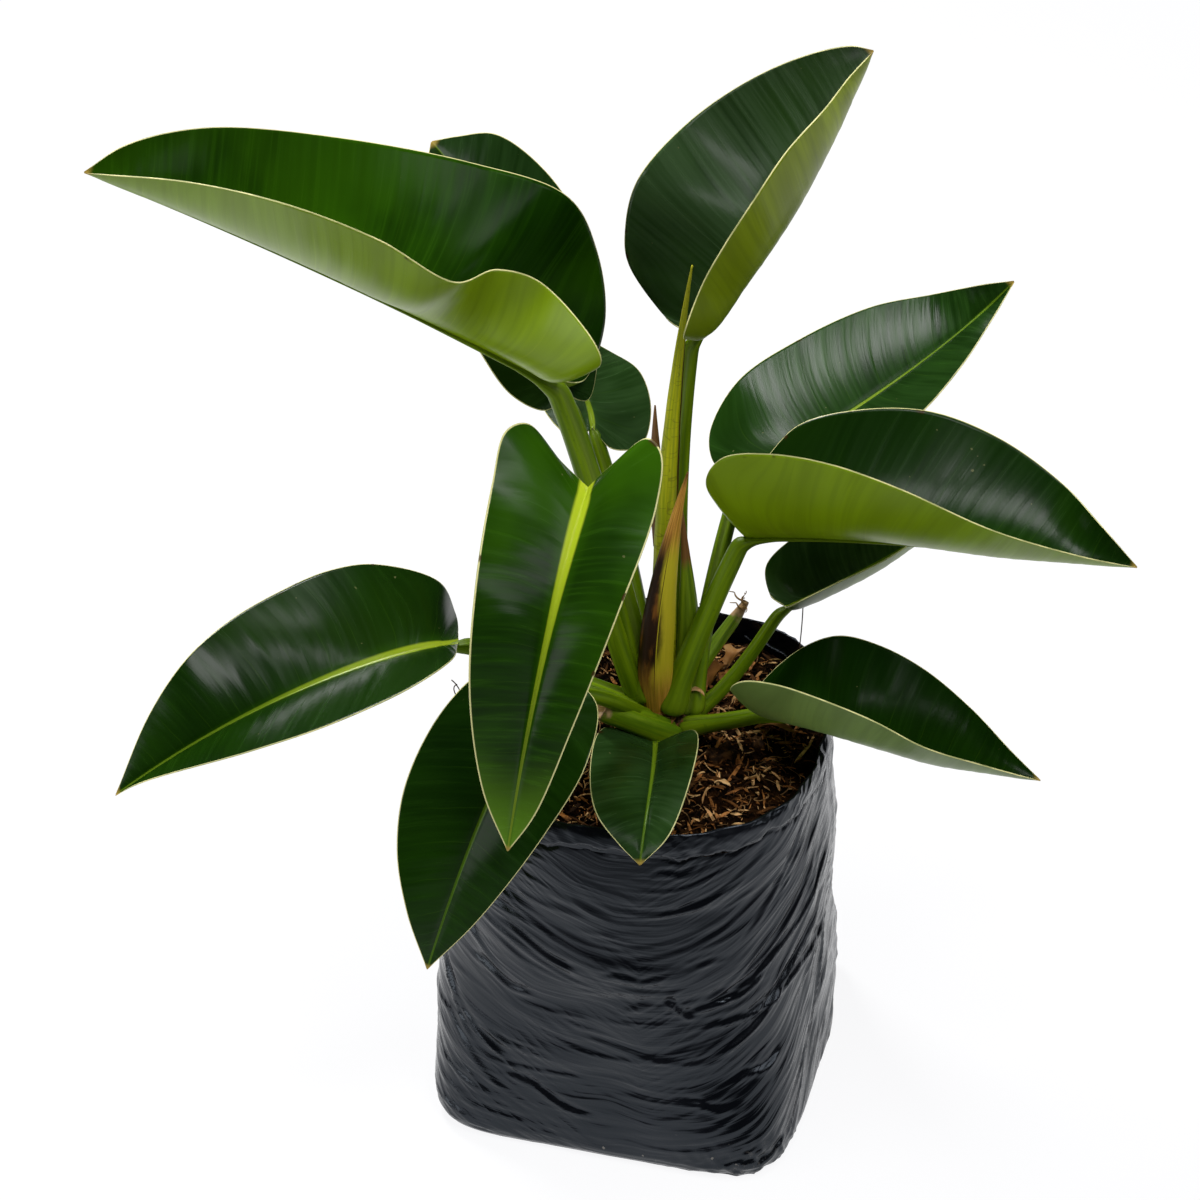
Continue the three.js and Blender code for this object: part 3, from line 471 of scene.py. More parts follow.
def make_piece(name, points, faces, materials, slot, replaced, values=None, face_slots=None, smooth=True):
    """A mesh object from points in millimetres, riding on the part and standing for a CAD node."""
    mesh = bpy.data.meshes.new(name)
    mesh.from_pydata((points * MM).tolist(), [], faces)
    for key, numbers in (values or {}).items():
        layer = mesh.attributes.new(key, "FLOAT", "POINT")
        layer.data.foreach_set("value", np.asarray(numbers, np.float32).ravel())
    for material in materials:
        mesh.materials.append(material)
    if face_slots is not None:
        mesh.polygons.foreach_set("material_index", np.asarray(face_slots, np.int32))
    mesh.polygons.foreach_set("use_smooth", np.full(len(faces), smooth))
    mesh.update()
    piece = bpy.data.objects.new(name, mesh)
    bpy.context.collection.objects.link(piece)
    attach(piece, "root")
    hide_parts(replaced)


def grid_faces(rows, columns, first=0, closed=False, flipped=False):
    """Quads of a grid of points, rows by columns, whose first point has the number given."""
    i = np.arange(rows - 1)[:, None] * columns + first
    j = np.arange(columns if closed else columns - 1)[None, :]
    beside = (j + 1) % columns
    quads = np.stack([i + j, i + beside, i + columns + beside, i + columns + j], -1).reshape(-1, 4)
    return (quads[:, ::-1] if flipped else quads).tolist()


def merge(parts):
    """Points and faces of several meshes as one."""
    points, faces, first = [], [], 0
    for part_points, part_faces in parts:
        points.append(part_points)
        faces += [[i + first for i in face] for face in part_faces]
        first += len(part_points)
    return np.vstack(points), faces


# Materials

class Value:
    """The output of a shader node, which sums and products can be written with."""

    def __init__(self, nodes, socket):
        self.nodes, self.socket = nodes, socket

    def __add__(self, other):
        return self.nodes.math("ADD", self, other)

    def __sub__(self, other):
        return self.nodes.math("SUBTRACT", self, other)

    def __rsub__(self, other):
        return self.nodes.math("SUBTRACT", other, self)

    def __mul__(self, other):
        return self.nodes.math("MULTIPLY", self, other)

    def __abs__(self):
        return self.nodes.math("ABSOLUTE", self)

    def between(self, low, high, out_low=0.0, out_high=1.0):
        """Goes smoothly from one result to the other while this passes from low to high."""
        inputs = {"Value": self, "From Min": low, "From Max": high, "To Min": out_low, "To Max": out_high}
        return self.nodes.add("ShaderNodeMapRange", "Result", inputs, interpolation_type="SMOOTHSTEP")

    def toward(self, colour, share):
        """This colour, turned into another by a share."""
        return self.nodes.mix(share, self, colour)


class Nodes:
    """The shader nodes of one material."""

    def __init__(self, name):
        self.material = bpy.data.materials.new(name)
        self.material.use_nodes = True
        self.tree = self.material.node_tree
        self.shader = self.tree.nodes["Principled BSDF"]

    def feed(self, socket, value):
        if isinstance(value, Value):
            self.tree.links.new(value.socket, socket)
        else:
            socket.default_value = (*value, 1.0) if isinstance(value, tuple) else value

    def add(self, kind, output, inputs=None, **settings):
        node = self.tree.nodes.new(kind)
        for key, value in settings.items():
            setattr(node, key, value)
        for key, value in (inputs or {}).items():
            self.feed(node.inputs[key], value)
        return Value(self, node.outputs[output])

    def value(self, name):
        """A value that the mesh holds at its points."""
        return self.add("ShaderNodeAttribute", "Fac", attribute_name=name)

    def math(self, operation, a, b=0.0):
        return self.add("ShaderNodeMath", 0, {0: a, 1: b}, operation=operation)

    def mix(self, share, a, b):
        return self.add("ShaderNodeMix", 2, {0: share, 6: a, 7: b}, data_type="RGBA")

    def place(self):
        return self.add("ShaderNodeTexCoord", "Object")

    def noise(self, place, scale, detail, roughness):
        inputs = {"Vector": place, "Scale": scale, "Detail": detail, "Roughness": roughness}
        return self.add("ShaderNodeTexNoise", "Fac", inputs)

    def grain(self, scale, detail, roughness=0.5):
        """Noise in space."""
        return self.noise(self.place(), scale, detail, roughness)

    def sheet_noise(self, x, y, detail, roughness=0.5):
        """Noise over two values."""
        return self.noise(self.add("ShaderNodeCombineXYZ", 0, {"X": x, "Y": y}), 1.0, detail, roughness)

    def streaks(self, across, along, detail=4.0, roughness=0.6):
        """Streaks that run along a tube."""
        turn, run = self.value("turn"), self.value("run")
        return self.sheet_noise(turn * across, run * along, detail, roughness)

    def finish(self, colour, roughness, specular=0.5, bump=None):
        """Feeds the shader. A bump is a height, a strength and a distance in metres."""
        inputs = {"Base Color": colour, "Roughness": roughness, "Specular IOR Level": specular}
        for key, value in inputs.items():
            self.feed(self.shader.inputs[key], value)
        if bump:
            inputs = dict(zip(("Height", "Strength", "Distance"), bump))
            self.feed(self.shader.inputs["Normal"], self.add("ShaderNodeBump", 0, inputs))
        return self.material


def vein_lines(n):
    """Values that run with the side veins: a broad wandering tone, fine streaks and sparse pale lines."""
    vein, across = n.value("vein"), n.value("across")
    broad = n.sheet_noise(vein * 0.05, across * 0.9, 2.0)
    streaks = n.sheet_noise(vein * 0.3, across * 0.8, 3.0)
    off = abs(n.math("FRACT", vein * 0.047 + broad * 0.35) - 0.5)
    line = off.between(0.0, 0.02, 1.0, 0.0) * across.between(0.15, 1.0, 0.24, 0.0)
    return broad, streaks, line


def nicked(n, colour):
    """Small brown spots that lie only along the margin."""
    near = n.value("edge_mm").between(0.8, 2.6, 0.9, 0.0)
    return colour.toward(NICK_BROWN, n.grain(75.0, 1.5).between(0.7, 0.73) * near)


def dry_tip(n, colour):
    return colour.toward(TIP_TAN, n.value("tip_mm").between(0.8, 4.0, 1.0, 0.0))


# A thin margin line in the leaf's own cream, brightened with painted light where the pale backdrop shines
# through the thin edge.
def lit_cream_edge(n, colour, edge):
    return colour.toward(CREAM_LIT_THROUGH, n.value("edge_mm").between(0.6 * edge, 1.2 * edge, 0.95, 0.0))


def upper_face_material(name, leaf):
    n = Nodes(f"{name}_upper")
    fresh, glow, painted_sheen = leaf["fresh"], leaf["rib_glow"], leaf["painted_sheen"]
    along, rib = n.value("along"), n.value("rib")
    broad, streaks, line = vein_lines(n)
    tone = broad * 0.5 + streaks * 0.5
    colour = n.mix(tone.between(0.33, 0.7, 0.0, leaf["mid"]), DEEP_GREEN, MID_GREEN)
    colour = colour.toward(FRESH_GREEN, n.grain(14.0, 3.0).between(0.36, 0.68, 0.1 * fresh, fresh))
    colour = colour.toward(FRESH_GREEN, streaks.between(0.5, 0.72, 0.0, 0.35 * fresh))
    # towards the tip: partly a fresher green, partly a painted sheen of the pale floor
    colour = colour.toward(TIP_GREEN_AND_SHEEN, along.between(0.7, 1.02, 0.0, leaf["tip_fresh_and_sheen"]))
    # a painted sheen: grey-green laid over the tone
    colour = colour.toward(PAINTED_SHEEN_GREY, tone.between(0.35, 0.6, 0.35 * painted_sheen, painted_sheen))
    colour = colour.toward(RIB_GREEN, line)
    # the midrib is bright near the root and glows into the blade
    colour = colour.toward(FRESH_GREEN, rib.between(0.8, 3.4, 0.5 * glow, 0.0))
    bright = n.mix(along.between(0.02, 0.75, glow, 0.25 * glow), RIB_GREEN, RIB_LIME)
    colour = colour.toward(bright, rib.between(0.75, 1.25, 1.0, 0.0))
    colour = dry_tip(n, lit_cream_edge(n, colour, leaf["edge"]))
    colour = nicked(n, colour.toward(FLECK_TAN, n.grain(300.0, 1.0).between(0.8, 0.82, 0.0, 0.6)))
    bump = streaks + line * -0.3, leaf["relief"], 0.0008
    return n.finish(colour, streaks.between(0.3, 0.7, 0.21, 0.28), leaf["gloss"], bump)


def underside_material(name, leaf):
    n = Nodes(f"{name}_under")
    near, far = UNDERSIDES_LIT_THROUGH[leaf["under"]]
    darker = tuple(0.5 * c for c in near)
    broad, streaks, line = vein_lines(n)
    # the underside's pale green holds painted light that shines through the blade
    colour = n.mix(n.value("along").between(0.1, 0.9), near, far)
    colour = colour.toward(darker, broad.between(0.35, 0.7, 0.0, 0.5))
    colour = colour.toward(darker, streaks.between(0.42, 0.68, 0.0, 0.3))
    colour = colour.toward(RIB_LIME, line * 0.5)
    colour = nicked(n, dry_tip(n, lit_cream_edge(n, colour, leaf["edge"])))
    return n.finish(colour, 0.36, leaf["under_gloss"], (streaks, 0.15, 0.0008))


def margin_material():
    n = Nodes("leaf_margin")
    # the margin strip: cream brightened by painted light shining through, mixed with olive
    colour = n.mix(n.grain(90.0, 2.0).between(0.4, 0.6), CREAM_LIT_THROUGH, MARGIN_OLIVE)
    return n.finish(dry_tip(n, colour), 0.5)


def stalk_material():
    n = Nodes("stalk_green")
    streaks = n.streaks(9.0, 0.012)
    colour = n.mix(streaks.between(0.28, 0.76), STALK_DARK, STALK_LIGHT)
    colour = colour.toward(STALK_CHANNEL, n.value("channel").between(0.4, 0.9, 0.0, 0.4))
    colour = colour.toward(STALK_FOOT, n.value("run").between(0.0, 26.0, 0.35, 0.0))
    colour = colour.toward(STALK_RIB, n.value("rib_share").between(0.0, 0.12, 0.0, 0.9))
    colour = colour.toward(STALK_DARK, n.grain(420.0, 1.0).between(0.7, 0.78, 0.0, 0.5))
    bump = n.streaks(40.0, 0.02, 2.0, 0.5), 0.15, 0.0004
    return n.finish(colour, streaks.between(0.3, 0.7, 0.34, 0.46), 0.2, bump)


# Leaf blades

def half_blade(leaf, hand, w, passes):
    """The midrib and the way from it to one margin, at shares w of the margin's length."""
    rib = cubic(leaf["rib"], 400)
    side = np.array(leaf["left" if hand > 0 else "right"], float)
    end = rib[-1] + TIP_HALF_WIDTH * unit(side[-1] - at_share(rib, [0.9])[0])
    margin = smooth_line([rib[0], *side, end])
    length = run_of(margin)[-1]
    beside = ROOT_HALF_WIDTH / length
    x = soften(np.interp(w, (0, LOBE_SHARE, 1), (0, ROOT_PART, 1)), passes)
    root = at_share(rib, x)
    along = unit(at_share(rib, np.clip(x + 0.005, 0, 1)) - at_share(rib, np.clip(x - 0.005, 0, 1)))
    away = at_share(margin, beside + (1 - beside) * w) - root
    return x, root, along, away, length


def half_grid(name, leaf, hand):
    """Upper face of half a blade, from the midrib to the margin, with values for its veins."""
    length = run_of(cubic(leaf["rib"], 100))[-1]
    w = np.linspace(0, 1, int(np.clip(length * BLADE_ROWS_PER_MM, FEWEST_ROWS, MOST_ROWS)) + 1)
    coarse = np.linspace(0, 1, leaf["rows"] + 1)
    # columns gather at the midrib and at the margin
    u = np.linspace(0, 1, HALF_BLADE_COLUMNS + 1)
    v = 0.5 * u + 0.5 * (0.5 - 0.5 * np.cos(pi * u))**1.1
    _, _, along, away, _ = half_blade(leaf, hand, coarse, 0)
    ups = soften(unit(hand * np.cross(along, away)), 6)
    x, root, along, away, margin_length = half_blade(leaf, hand, w, 8)
    up = unit(soften(read_off(w, coarse, ups), 6))
    width = np.linalg.norm(away, axis=1)
    x, w, width = (a[:, None] for a in (x, w, width))
    r, m, t = leaf["cup"]
    cup = r * (1 - x) * (1 - 2 * x) + m * 4 * x * (1 - x) + t * x * (2 * x - 1)
    hump = 4 * v * (1 - v)
    depth = cup * width * hump * (1.25 - 0.5 * v)
    sweep = VEIN_SWEEP * 2 * np.minimum(w, 1 - w) * width * hump
    # slight ridges run out with the side veins, and the blade sinks a little at the midrib
    rib_mm = width * v
    vein = w * margin_length - 0.5 * rib_mm * ease(x, 0.03, 0.25)
    bow = 0.05 * wave_noise(vein, len(name) + hand) * np.sqrt(hump) * ease(width, 6, 25)
    groove = 0.5 * bell(rib_mm, 1.7) * ease(w, 0.0, 0.05) * ease(1 - w, 0.0, 0.1)
    points = (root[:, None] + away[:, None] * v[:, None]
              + up[:, None] * (bow - depth - groove)[..., None] - along[:, None] * sweep[..., None])
    rib_half = 0.45 + leaf["rib_width"] * (1 - x)**2.2
    wide = np.ones(vein.shape)
    return points, dict(vein=vein + 1000 * (hand < 0), rib=rib_mm / rib_half, across=v * wide,
                        along=x * wide, tip_mm=(1 - x) * length * wide, edge_mm=width * (1 - v))


def blade_grid(name, leaf):
    """Upper face of a blade, from the left margin over the midrib to the right."""
    (left, left_values), (right, right_values) = (half_grid(name, leaf, hand) for hand in (1, -1))
    values = {k: np.concatenate([left_values[k][:, :0:-1], right_values[k]], 1) for k in left_values}
    return np.concatenate([left[:, :0:-1], right], 1), values


def make_blade(name, leaf):
    """A blade, whose midrib and the normals along it are handed on to its stalk."""
    leaf = {**USUAL_LOOK, **leaf}
    top, values = blade_grid(name, leaf)
    rows, columns = top.shape[:2]
    normals = unit(np.cross(np.gradient(top, axis=1), np.gradient(top, axis=0)))
    normals = unit(soften(normals, 4))
    width = np.linalg.norm(top[:, 0] - top[:, -1], axis=1)
    thickness = BLADE_THICKNESS * (0.35 + 0.65 * ease(width, 2, 16))
    bottom = top - thickness[:, None, None] * normals
    number = np.arange(rows * columns).reshape(rows, columns)
    rim = np.concatenate([number[0], number[1:, -1], number[-1, -2::-1], number[-2:0:-1, 0]])
    ahead = np.roll(rim, -1)
    upper = grid_faces(rows, columns)
    lower = grid_faces(rows, columns, number.size, flipped=True)
    strip = np.stack([ahead, rim, rim + number.size, ahead + number.size], -1).tolist()
    slots = np.repeat([0, 1, 2], [len(upper), len(lower), len(strip)])
    materials = [upper_face_material(name, leaf), underside_material(name, leaf), MARGIN]
    values = {k: np.tile(a.ravel(), 2) for k, a in values.items()}
    make_piece(f"leaf_{name}", np.concatenate([top, bottom]).reshape(-1, 3), upper + lower + strip,
               materials, "blade", f"blade_{name}", values, slots)
    return top[:, columns // 2], normals[:, columns // 2]


# Stalks

def tube(centre, radius, facing, section, sides=28):
    """Rings of points along a centre line. A section scales the radius; its angle 0 faces the way given."""
    along = unit(np.gradient(centre, axis=0))
    facing = np.broadcast_to(np.asarray(facing, float), centre.shape)
    front = facing - (facing * along).sum(-1, keepdims=True) * along
    front = unit(soften(unit(front), 30))
    third = np.cross(along, front)
    angle = np.linspace(0, tau, sides, endpoint=False)
    share = np.linspace(0, 1, len(centre))
    size = radius[:, None] * section(angle[None, :], share[:, None])
    ring = np.cos(angle)[:, None] * front[:, None] + np.sin(angle)[:, None] * third[:, None]
    return centre[:, None] + size[..., None] * ring, angle, share


def capped_tube(points):
    """Points and faces of a tube with both ends closed by a fan."""
    rings, sides = points.shape[:2]
    start, end, last = rings * sides, rings * sides + 1, (rings - 1) * sides
    faces = grid_faces(rings, sides, closed=True)
    faces += [[start, (k + 1) % sides, k] for k in range(sides)]
    faces += [[end, last + k, last + (k + 1) % sides] for k in range(sides)]
    return np.vstack([points.reshape(-1, 3), points[0].mean(0), points[-1].mean(0)]), faces


def channelled(angle, share):
    """Nearly round, with a shallow channel between two soft ridges on the side that faces angle 0."""
    turned = around(angle)
    depth = 0.3 * (1 - 0.8 * ease(share, 0.5, 0.8))
    return 1 - depth * bell(turned, 0.34) + 0.3 * depth * bell(np.abs(turned) - 0.8, 0.3)


def tube_values(points, angle, share, run, rib_share=0.0):
    """Values at the points of a capped tube."""
    wide = np.ones(points.shape[:2])
    share, run, rib_share = (wide * np.reshape(a, (-1, 1)) for a in (share, run, rib_share))
    values = dict(run=run, turn=angle / tau * wide, share=share, channel=bell(around(angle), 0.45) * wide,
                  rib_share=rib_share)
    return {k: np.concatenate([a.ravel(), (a[0].mean(), a[-1].mean())]) for k, a in values.items()}


def make_stalk(name, path, radii, channel, rib_line, rib_normals):
    """A stalk that runs on under its blade as the raised midrib."""
    petiole = cubic(path, 120)
    run = run_of(petiole)
    length = run[-1]
    rib_share = run_of(rib_line) / run_of(rib_line)[-1]
    rib_radius = radii[-1] * np.interp(rib_share, RIB_SHARES, RIB_RADII)
    below = rib_line - rib_normals * (rib_radius + RIB_SINK)[:, None]
    stem = run < length - JOINT_GAP
    rib = np.flatnonzero(rib_share < RIB_END)[3:]
    joined = np.vstack([petiole[stem], below[rib]])
    radius = np.concatenate([spread_over(run / length, radii)[stem], rib_radius[rib]])
    share = np.concatenate([np.zeros(stem.sum()), rib_share[rib]])
    total = run_of(joined)
    even = np.linspace(0, total[-1], int(total[-1] / STALK_STEP))
    centre = read_off(even, total, joined)
    joint = bell(even - length, 9)[:, None]
    centre = centre * (1 - joint) + soften(centre, 14) * joint
    # the foot is rounded off and swollen a little
    rounded = np.sqrt(1 - np.clip(1 - (even + 0.2) / 5, 0, 1)**2)
    radius = soften(np.interp(even, total, radius), 6) * rounded * (1 + 0.16 * bell(even - 7, 8))
    points, angle, place = tube(centre, radius, channel, channelled)
    values = tube_values(points, angle, place, even, np.interp(even, total, share))
    make_piece(f"stalk_petiole_{name}", *capped_tube(points), [STALK], "stalk", f"petiole_{name}", values)


# Young leaf, sheaths and stubs

def tube_along(path, radii, count):
    """Even stations along a cubic curve, with the radius at each."""
    shares = np.linspace(0, 1, count)
    return at_share(cubic(path, 200), shares), soften(spread_over(shares, radii), 8)


def make_tube(name, path, radii, facing, section, material, slot, replaced, count, sides):
    line, radius = tube_along(path, radii, count)
    points, angle, share = tube(line, radius, facing, section, sides)
    values = tube_values(points, angle, share, run_of(line))
    make_piece(name, *capped_tube(points), [material], slot, replaced, values)


def rolled(angle, share):
    """The leaf is rolled on itself, so its outer margin stands a step above the layer below."""
    turned = (angle - SEAM_AT - SEAM_TURN * share) % tau
    step = 0.16 * ease(1 - share, 0.0, 0.2)
    return 1 + step * (0.5 - turned / tau) + 0.012 * np.sin(60 * share + 2 * angle)


def pointed_lens(angle, share):
    """A flattened sheath with a keel on either side."""
    return 0.86 + 0.18 * np.abs(np.sin(angle))**3 + 0.02 * np.sin(7 * angle + 4 * share)


def young_leaf_material():
    n = Nodes("young_leaf")
    share, turn, run = n.value("share"), n.value("turn"), n.value("run")
    streaks = n.streaks(14.0, 0.02)
    colour = n.mix(streaks.between(0.36, 0.66), *YOUNG_TONES)
    colour = colour.toward(YOUNG_TIP, share.between(0.82, 0.97, 0.0, 0.6))
    # a dark line follows the rolled leaf's seam, in shares of a whole turn
    seam = abs(turn - (share * 0.0796 + 0.183)).between(0.006, 0.03, 1.0, 0.0)
    colour = colour.toward(YOUNG_SEAM, seam * share.between(0.3, 0.55))
    # faint scars where older leaves pressed round it
    ring = abs(n.sheet_noise(run * 0.11, turn * 0.8, 1.0) - 0.5)
    colour = colour.toward(YOUNG_SCAR, ring.between(0.0, 0.012, 0.45, 0.0))
    return n.finish(colour, 0.4, 0.2, (streaks, 0.12, 0.0005))


def sheath_material():
    n = Nodes("papery_sheath")
    share = n.value("share")
    streaks = n.streaks(26.0, 0.03, 5.0, 0.65)
    blotches = n.streaks(9.0, 0.045)
    tan = n.mix(streaks.between(0.3, 0.7), *SHEATH_TANS)
    yellow = n.mix(streaks, *SHEATH_YELLOWS)
    dark = n.mix(blotches.between(0.5, 0.74), *SHEATH_DARKS)
    # the dark brown strip lies on the left of the face, the yellow on its right
    sway = n.math("SINE", share * 12.0) * 0.05 + blotches * 0.12
    place = n.math("FRACT", n.value("turn") + 0.5) + sway
    colour = n.mix(place.between(0.5, 0.6, 1.0, 0.0), yellow, dark)
    ends = n.math("MAXIMUM", share.between(0.66, 0.8), share.between(0.1, 0.3, 1.0, 0.0))
    colour = colour.toward(tan, ends * streaks.between(0.2, 0.6, 0.6, 1.0))
    colour = colour.toward(SHEATH_TIP, share.between(0.93, 1.0, 0.0, 0.8))
    return n.finish(colour, streaks.between(0.3, 0.7, 0.42, 0.6), 0.2, (streaks, 0.35, 0.0006))


def short_sheath_material():
    n = Nodes("short_sheath")
    streaks = n.streaks(14.0, 0.02)
    green = n.mix(streaks.between(0.36, 0.66), *SHORT_GREENS)
    brown = n.mix(streaks, *SHORT_BROWNS)
    colour = green.toward(brown, (n.value("share") + streaks * 0.1).between(0.74, 0.82))
    return n.finish(colour, 0.42, 0.2, (streaks, 0.2, 0.0005))


def scale_material():
    n = Nodes("brown_scale")
    streaks = n.streaks(18.0, 0.03, 5.0, 0.65)
    return n.finish(n.mix(streaks, *SCALE_TONES), 0.55, bump=(streaks, 0.35, 0.0006))


def stub_material(name, reach):
    """Green at the foot, dried brown and papery from the share given."""
    n = Nodes(name)
    blotches = n.grain(160.0, 3.0)
    green = n.mix(n.streaks(12.0, 0.02).between(0.36, 0.66), *STUB_GREENS)
    dried = n.mix(blotches.between(0.3, 0.7), *STUB_BROWNS)
    edge = n.value("share") + (blotches - 0.5) * 0.25
    colour = green.toward(dried, edge.between(reach - 0.04, reach + 0.04))
    return n.finish(colour, 0.45, 0.2, (blotches, 0.3, 0.0006))


def dried_material():
    n = Nodes("dried_fibre")
    colour = n.mix(n.grain(60.0, 4.0, 0.65).between(0.3, 0.7), *DRIED_TONES)
    return n.finish(colour, 0.7, 0.15, (n.grain(900.0, 2.0), 0.3, 0.0004))


def make_young_leaf():
    make_tube("young_leaf_roll", *ROLLED_LEAF, (0, -1, 0), rolled, young_leaf_material(),
              "young_leaf", "rolled_leaf", 170, 60)


def make_sheaths():
    """The papery bud sheath, the short green one, and the scale whose tip shows above them."""
    make_tube("bud_sheath", *PAPERY_SHEATH, (0, -1, 0.1), pointed_lens, sheath_material(),
              "papery", "papery_sheath", 120, 48)
    make_tube("green_sheath", *SHORT_SHEATH, (0, -1, 0), pointed_lens, short_sheath_material(),
              "young_leaf", "short_sheath", 90, 32)
    make_tube("dry_scale", *BROWN_SCALE, (0, -1, 0), pointed_lens, scale_material(),
              "papery", "brown_scale", 60, 24)


def make_cut_stub():
    """The end of a cut stalk: hollowed, with a dried rim."""
    line, radius = tube_along(*CUT_STUB, 60)
    radius = radius * np.sqrt(1 - np.clip(1 - np.linspace(0.03, 9, 60), 0, 1)**2)
    points, angle, share = tube(line, radius, (0, 0, 1), channelled, 40)
    along = unit(line[-1] - line[-4])
    points[-1] += 0.5 * wave_noise(angle * 6, 5, (9.0, 5.1, 3.0))[:, None] * along
    inner = [line[-1] + (points[-1] - line[-1]) * k - along * depth for k, depth in CUT_HOLLOW]
    points = np.concatenate([points, np.array(inner)])
    run = run_of(line)
    share = [*share, 1.02, 1.1, 1.2]
    run = [*run, run[-1] + 0.5, run[-1] + 1, run[-1] + 2]
    values = tube_values(points, angle, share, run)
    material = stub_material("cut_stub", 0.97)
    make_piece("cut_stub_end", *capped_tube(points), [material], "stalk", "cut_stub", values)


def thread(line, radius, sides=5):
    """A thin thread along a line, as points and faces."""
    points, _, _ = tube(line, radius, (0.3, -0.2, 0.9), lambda angle, share: 1 + 0 * angle + 0 * share, sides)
    return capped_tube(points)


def make_old_stub():
    """A dried stalk end that frays into a pale tuft."""
    make_tube("old_stub_foot", *OLD_STUB, (0, 0, 1), channelled, stub_material("old_stub", 0.84),
              "stalk", "old_stub", 60, 24)
    rng = np.random.default_rng(31)
    t = np.linspace(0, 1, 12)[:, None]
    threads = []
    for _ in range(TUFT_THREADS):
        start = np.array(TUFT_AT) + rng.normal(0, 1.2, 3)
        lean = np.array([rng.normal(0.15, 0.35), rng.normal(0, 0.3), 1.0])
        length = rng.uniform(5, 11)
        bow = rng.normal(0, 0.5, 3)
        curl = 0.12 * np.concatenate([np.sin(9 * t), np.cos(9 * t) - 1, 0 * t], 1)
        line = start + length * (lean * t + bow * t**2 + curl)
        threads.append(thread(line, TUFT_RADIUS * (1 - 0.7 * t[:, 0])))
    make_piece("old_stub_tuft", *merge(threads), [DRIED], "papery", "old_stub")


def make_crown():
    """The short stem: lumpy, and brown where sheaths have dried."""
    level = np.linspace(0, 1, 30)[:, None]
    height = CROWN_FROM + (CROWN_TO - CROWN_FROM) * level
    angle = np.linspace(0, tau, 64, endpoint=False)
    wide = CROWN_RADIUS * (1.02 - 0.6 * ease(level, 0.55, 1.0))
    lumps = 1 + 0.07 * np.sin(5 * angle + 6 * level) + 0.05 * np.sin(11 * angle - 9 * level + 1)
    points = about_axis(wide * lumps, angle, height) + CROWN
    values = tube_values(points, angle, 0.6 + 0.5 * level, height - CROWN_FROM)
    material = stub_material("crown_stem", 0.6)
    make_piece("crown_stem", *capped_tube(points), [material], "stalk", "crown", values)


# Bag

def bag_radius(angle, z):
    """Distance from the bag's axis to its smooth wall; the foot is squarer than the belly."""
    foot = np.exp(-((z / FOOT_FADE)**FOOT_FADE_POWER))
    power = BELLY_SQUARENESS + (FOOT_SQUARENESS - BELLY_SQUARENESS) * foot
    turned = angle - BAG_YAW
    sidewise, frontwise = np.cos(turned), np.sin(turned)
    half = BAG_HALF_WIDTH * (1 + BAG_BELLY * np.sin(pi * np.minimum(z / BAG_HEIGHT, 1)))
    wide = half + foot * np.where(sidewise > 0, FOOT_RIGHT, FOOT_LEFT)
    deep = half + foot * np.where(frontwise > 0, FOOT_BACK, FOOT_FRONT)
    reach = (np.abs(sidewise / wide)**power + np.abs(frontwise / deep)**power)**(-1 / power)
    drawn_in = ease(z, RIM_DRAWN_FROM, RIM_DRAWN_FULL) * bell(around(angle, RIM_DRAWN_AT), RIM_DRAWN_SPREAD)
    tucked = foot * bell(around(turned, CORNER_TUCK_AT), CORNER_TUCK_SPREAD)
    return (reach - RIM_DRAWN_IN * drawn_in) * (1 - CORNER_TUCK * tucked)


def rim_height(angle):
    return BAG_HEIGHT + RIM_WAVE * (np.sin(angle) + 0.4 * np.sin(3 * angle + 1))


def drape(turn, z):
    """Height along the pull of the film, which hangs low in the middle of a face and rises to its sides."""
    return z - (DRAPE_DROP + DRAPE_SLANT * np.sin(turn)) * np.sin(turn)**2


def lattice_noise(x, y, wrap, seed):
    """Smooth noise between 0 and 1 on unit cells, repeating after a number of cells in x."""
    values = np.random.default_rng(seed).uniform(0, 1, (wrap, 64))
    i, j = np.floor(x).astype(int), np.floor(y).astype(int)
    u, v = ease(x - i, 0, 1), ease(y - j, 0, 1)
    a, b = values[i % wrap, j % 64], values[(i + 1) % wrap, j % 64]
    c, d = values[i % wrap, (j + 1) % 64], values[(i + 1) % wrap, (j + 1) % 64]
    return (a * (1 - u) + b * u) * (1 - v) + (c * (1 - u) + d * u) * v


def ridged(x):
    """Sharp crests where smooth noise passes its middle."""
    return 1 - np.abs(2 * x - 1)


def film_folds(angle, z):
    """Ridges and grooves of the pulled film, in millimetres off the smooth wall."""
    turn = around(angle, FRONT)
    share = (turn + pi) / tau
    height = drape(turn, z) + 60
    height = height + 30 * (lattice_noise(share * 8, z / 80, 8, 1) - 0.5)
    height = height + 9 * (lattice_noise(share * 18, z / 34, 18, 7) - 0.5)
    strength = ease(lattice_noise(share * 11, z / 40, 11, 2), 0.2, 0.8)
    wide = lattice_noise(share * 5 + 0.015 * height, height / 20, 5, 3) - 0.5
    broad = lattice_noise(share * 9, height / 11, 9, 8) - 0.5
    middle = ridged(lattice_noise(share * 13 + 0.03 * height, height / 7.0, 13, 4)) - 0.6
    return 3.0 * wide + 1.7 * broad + 0.9 * strength * middle


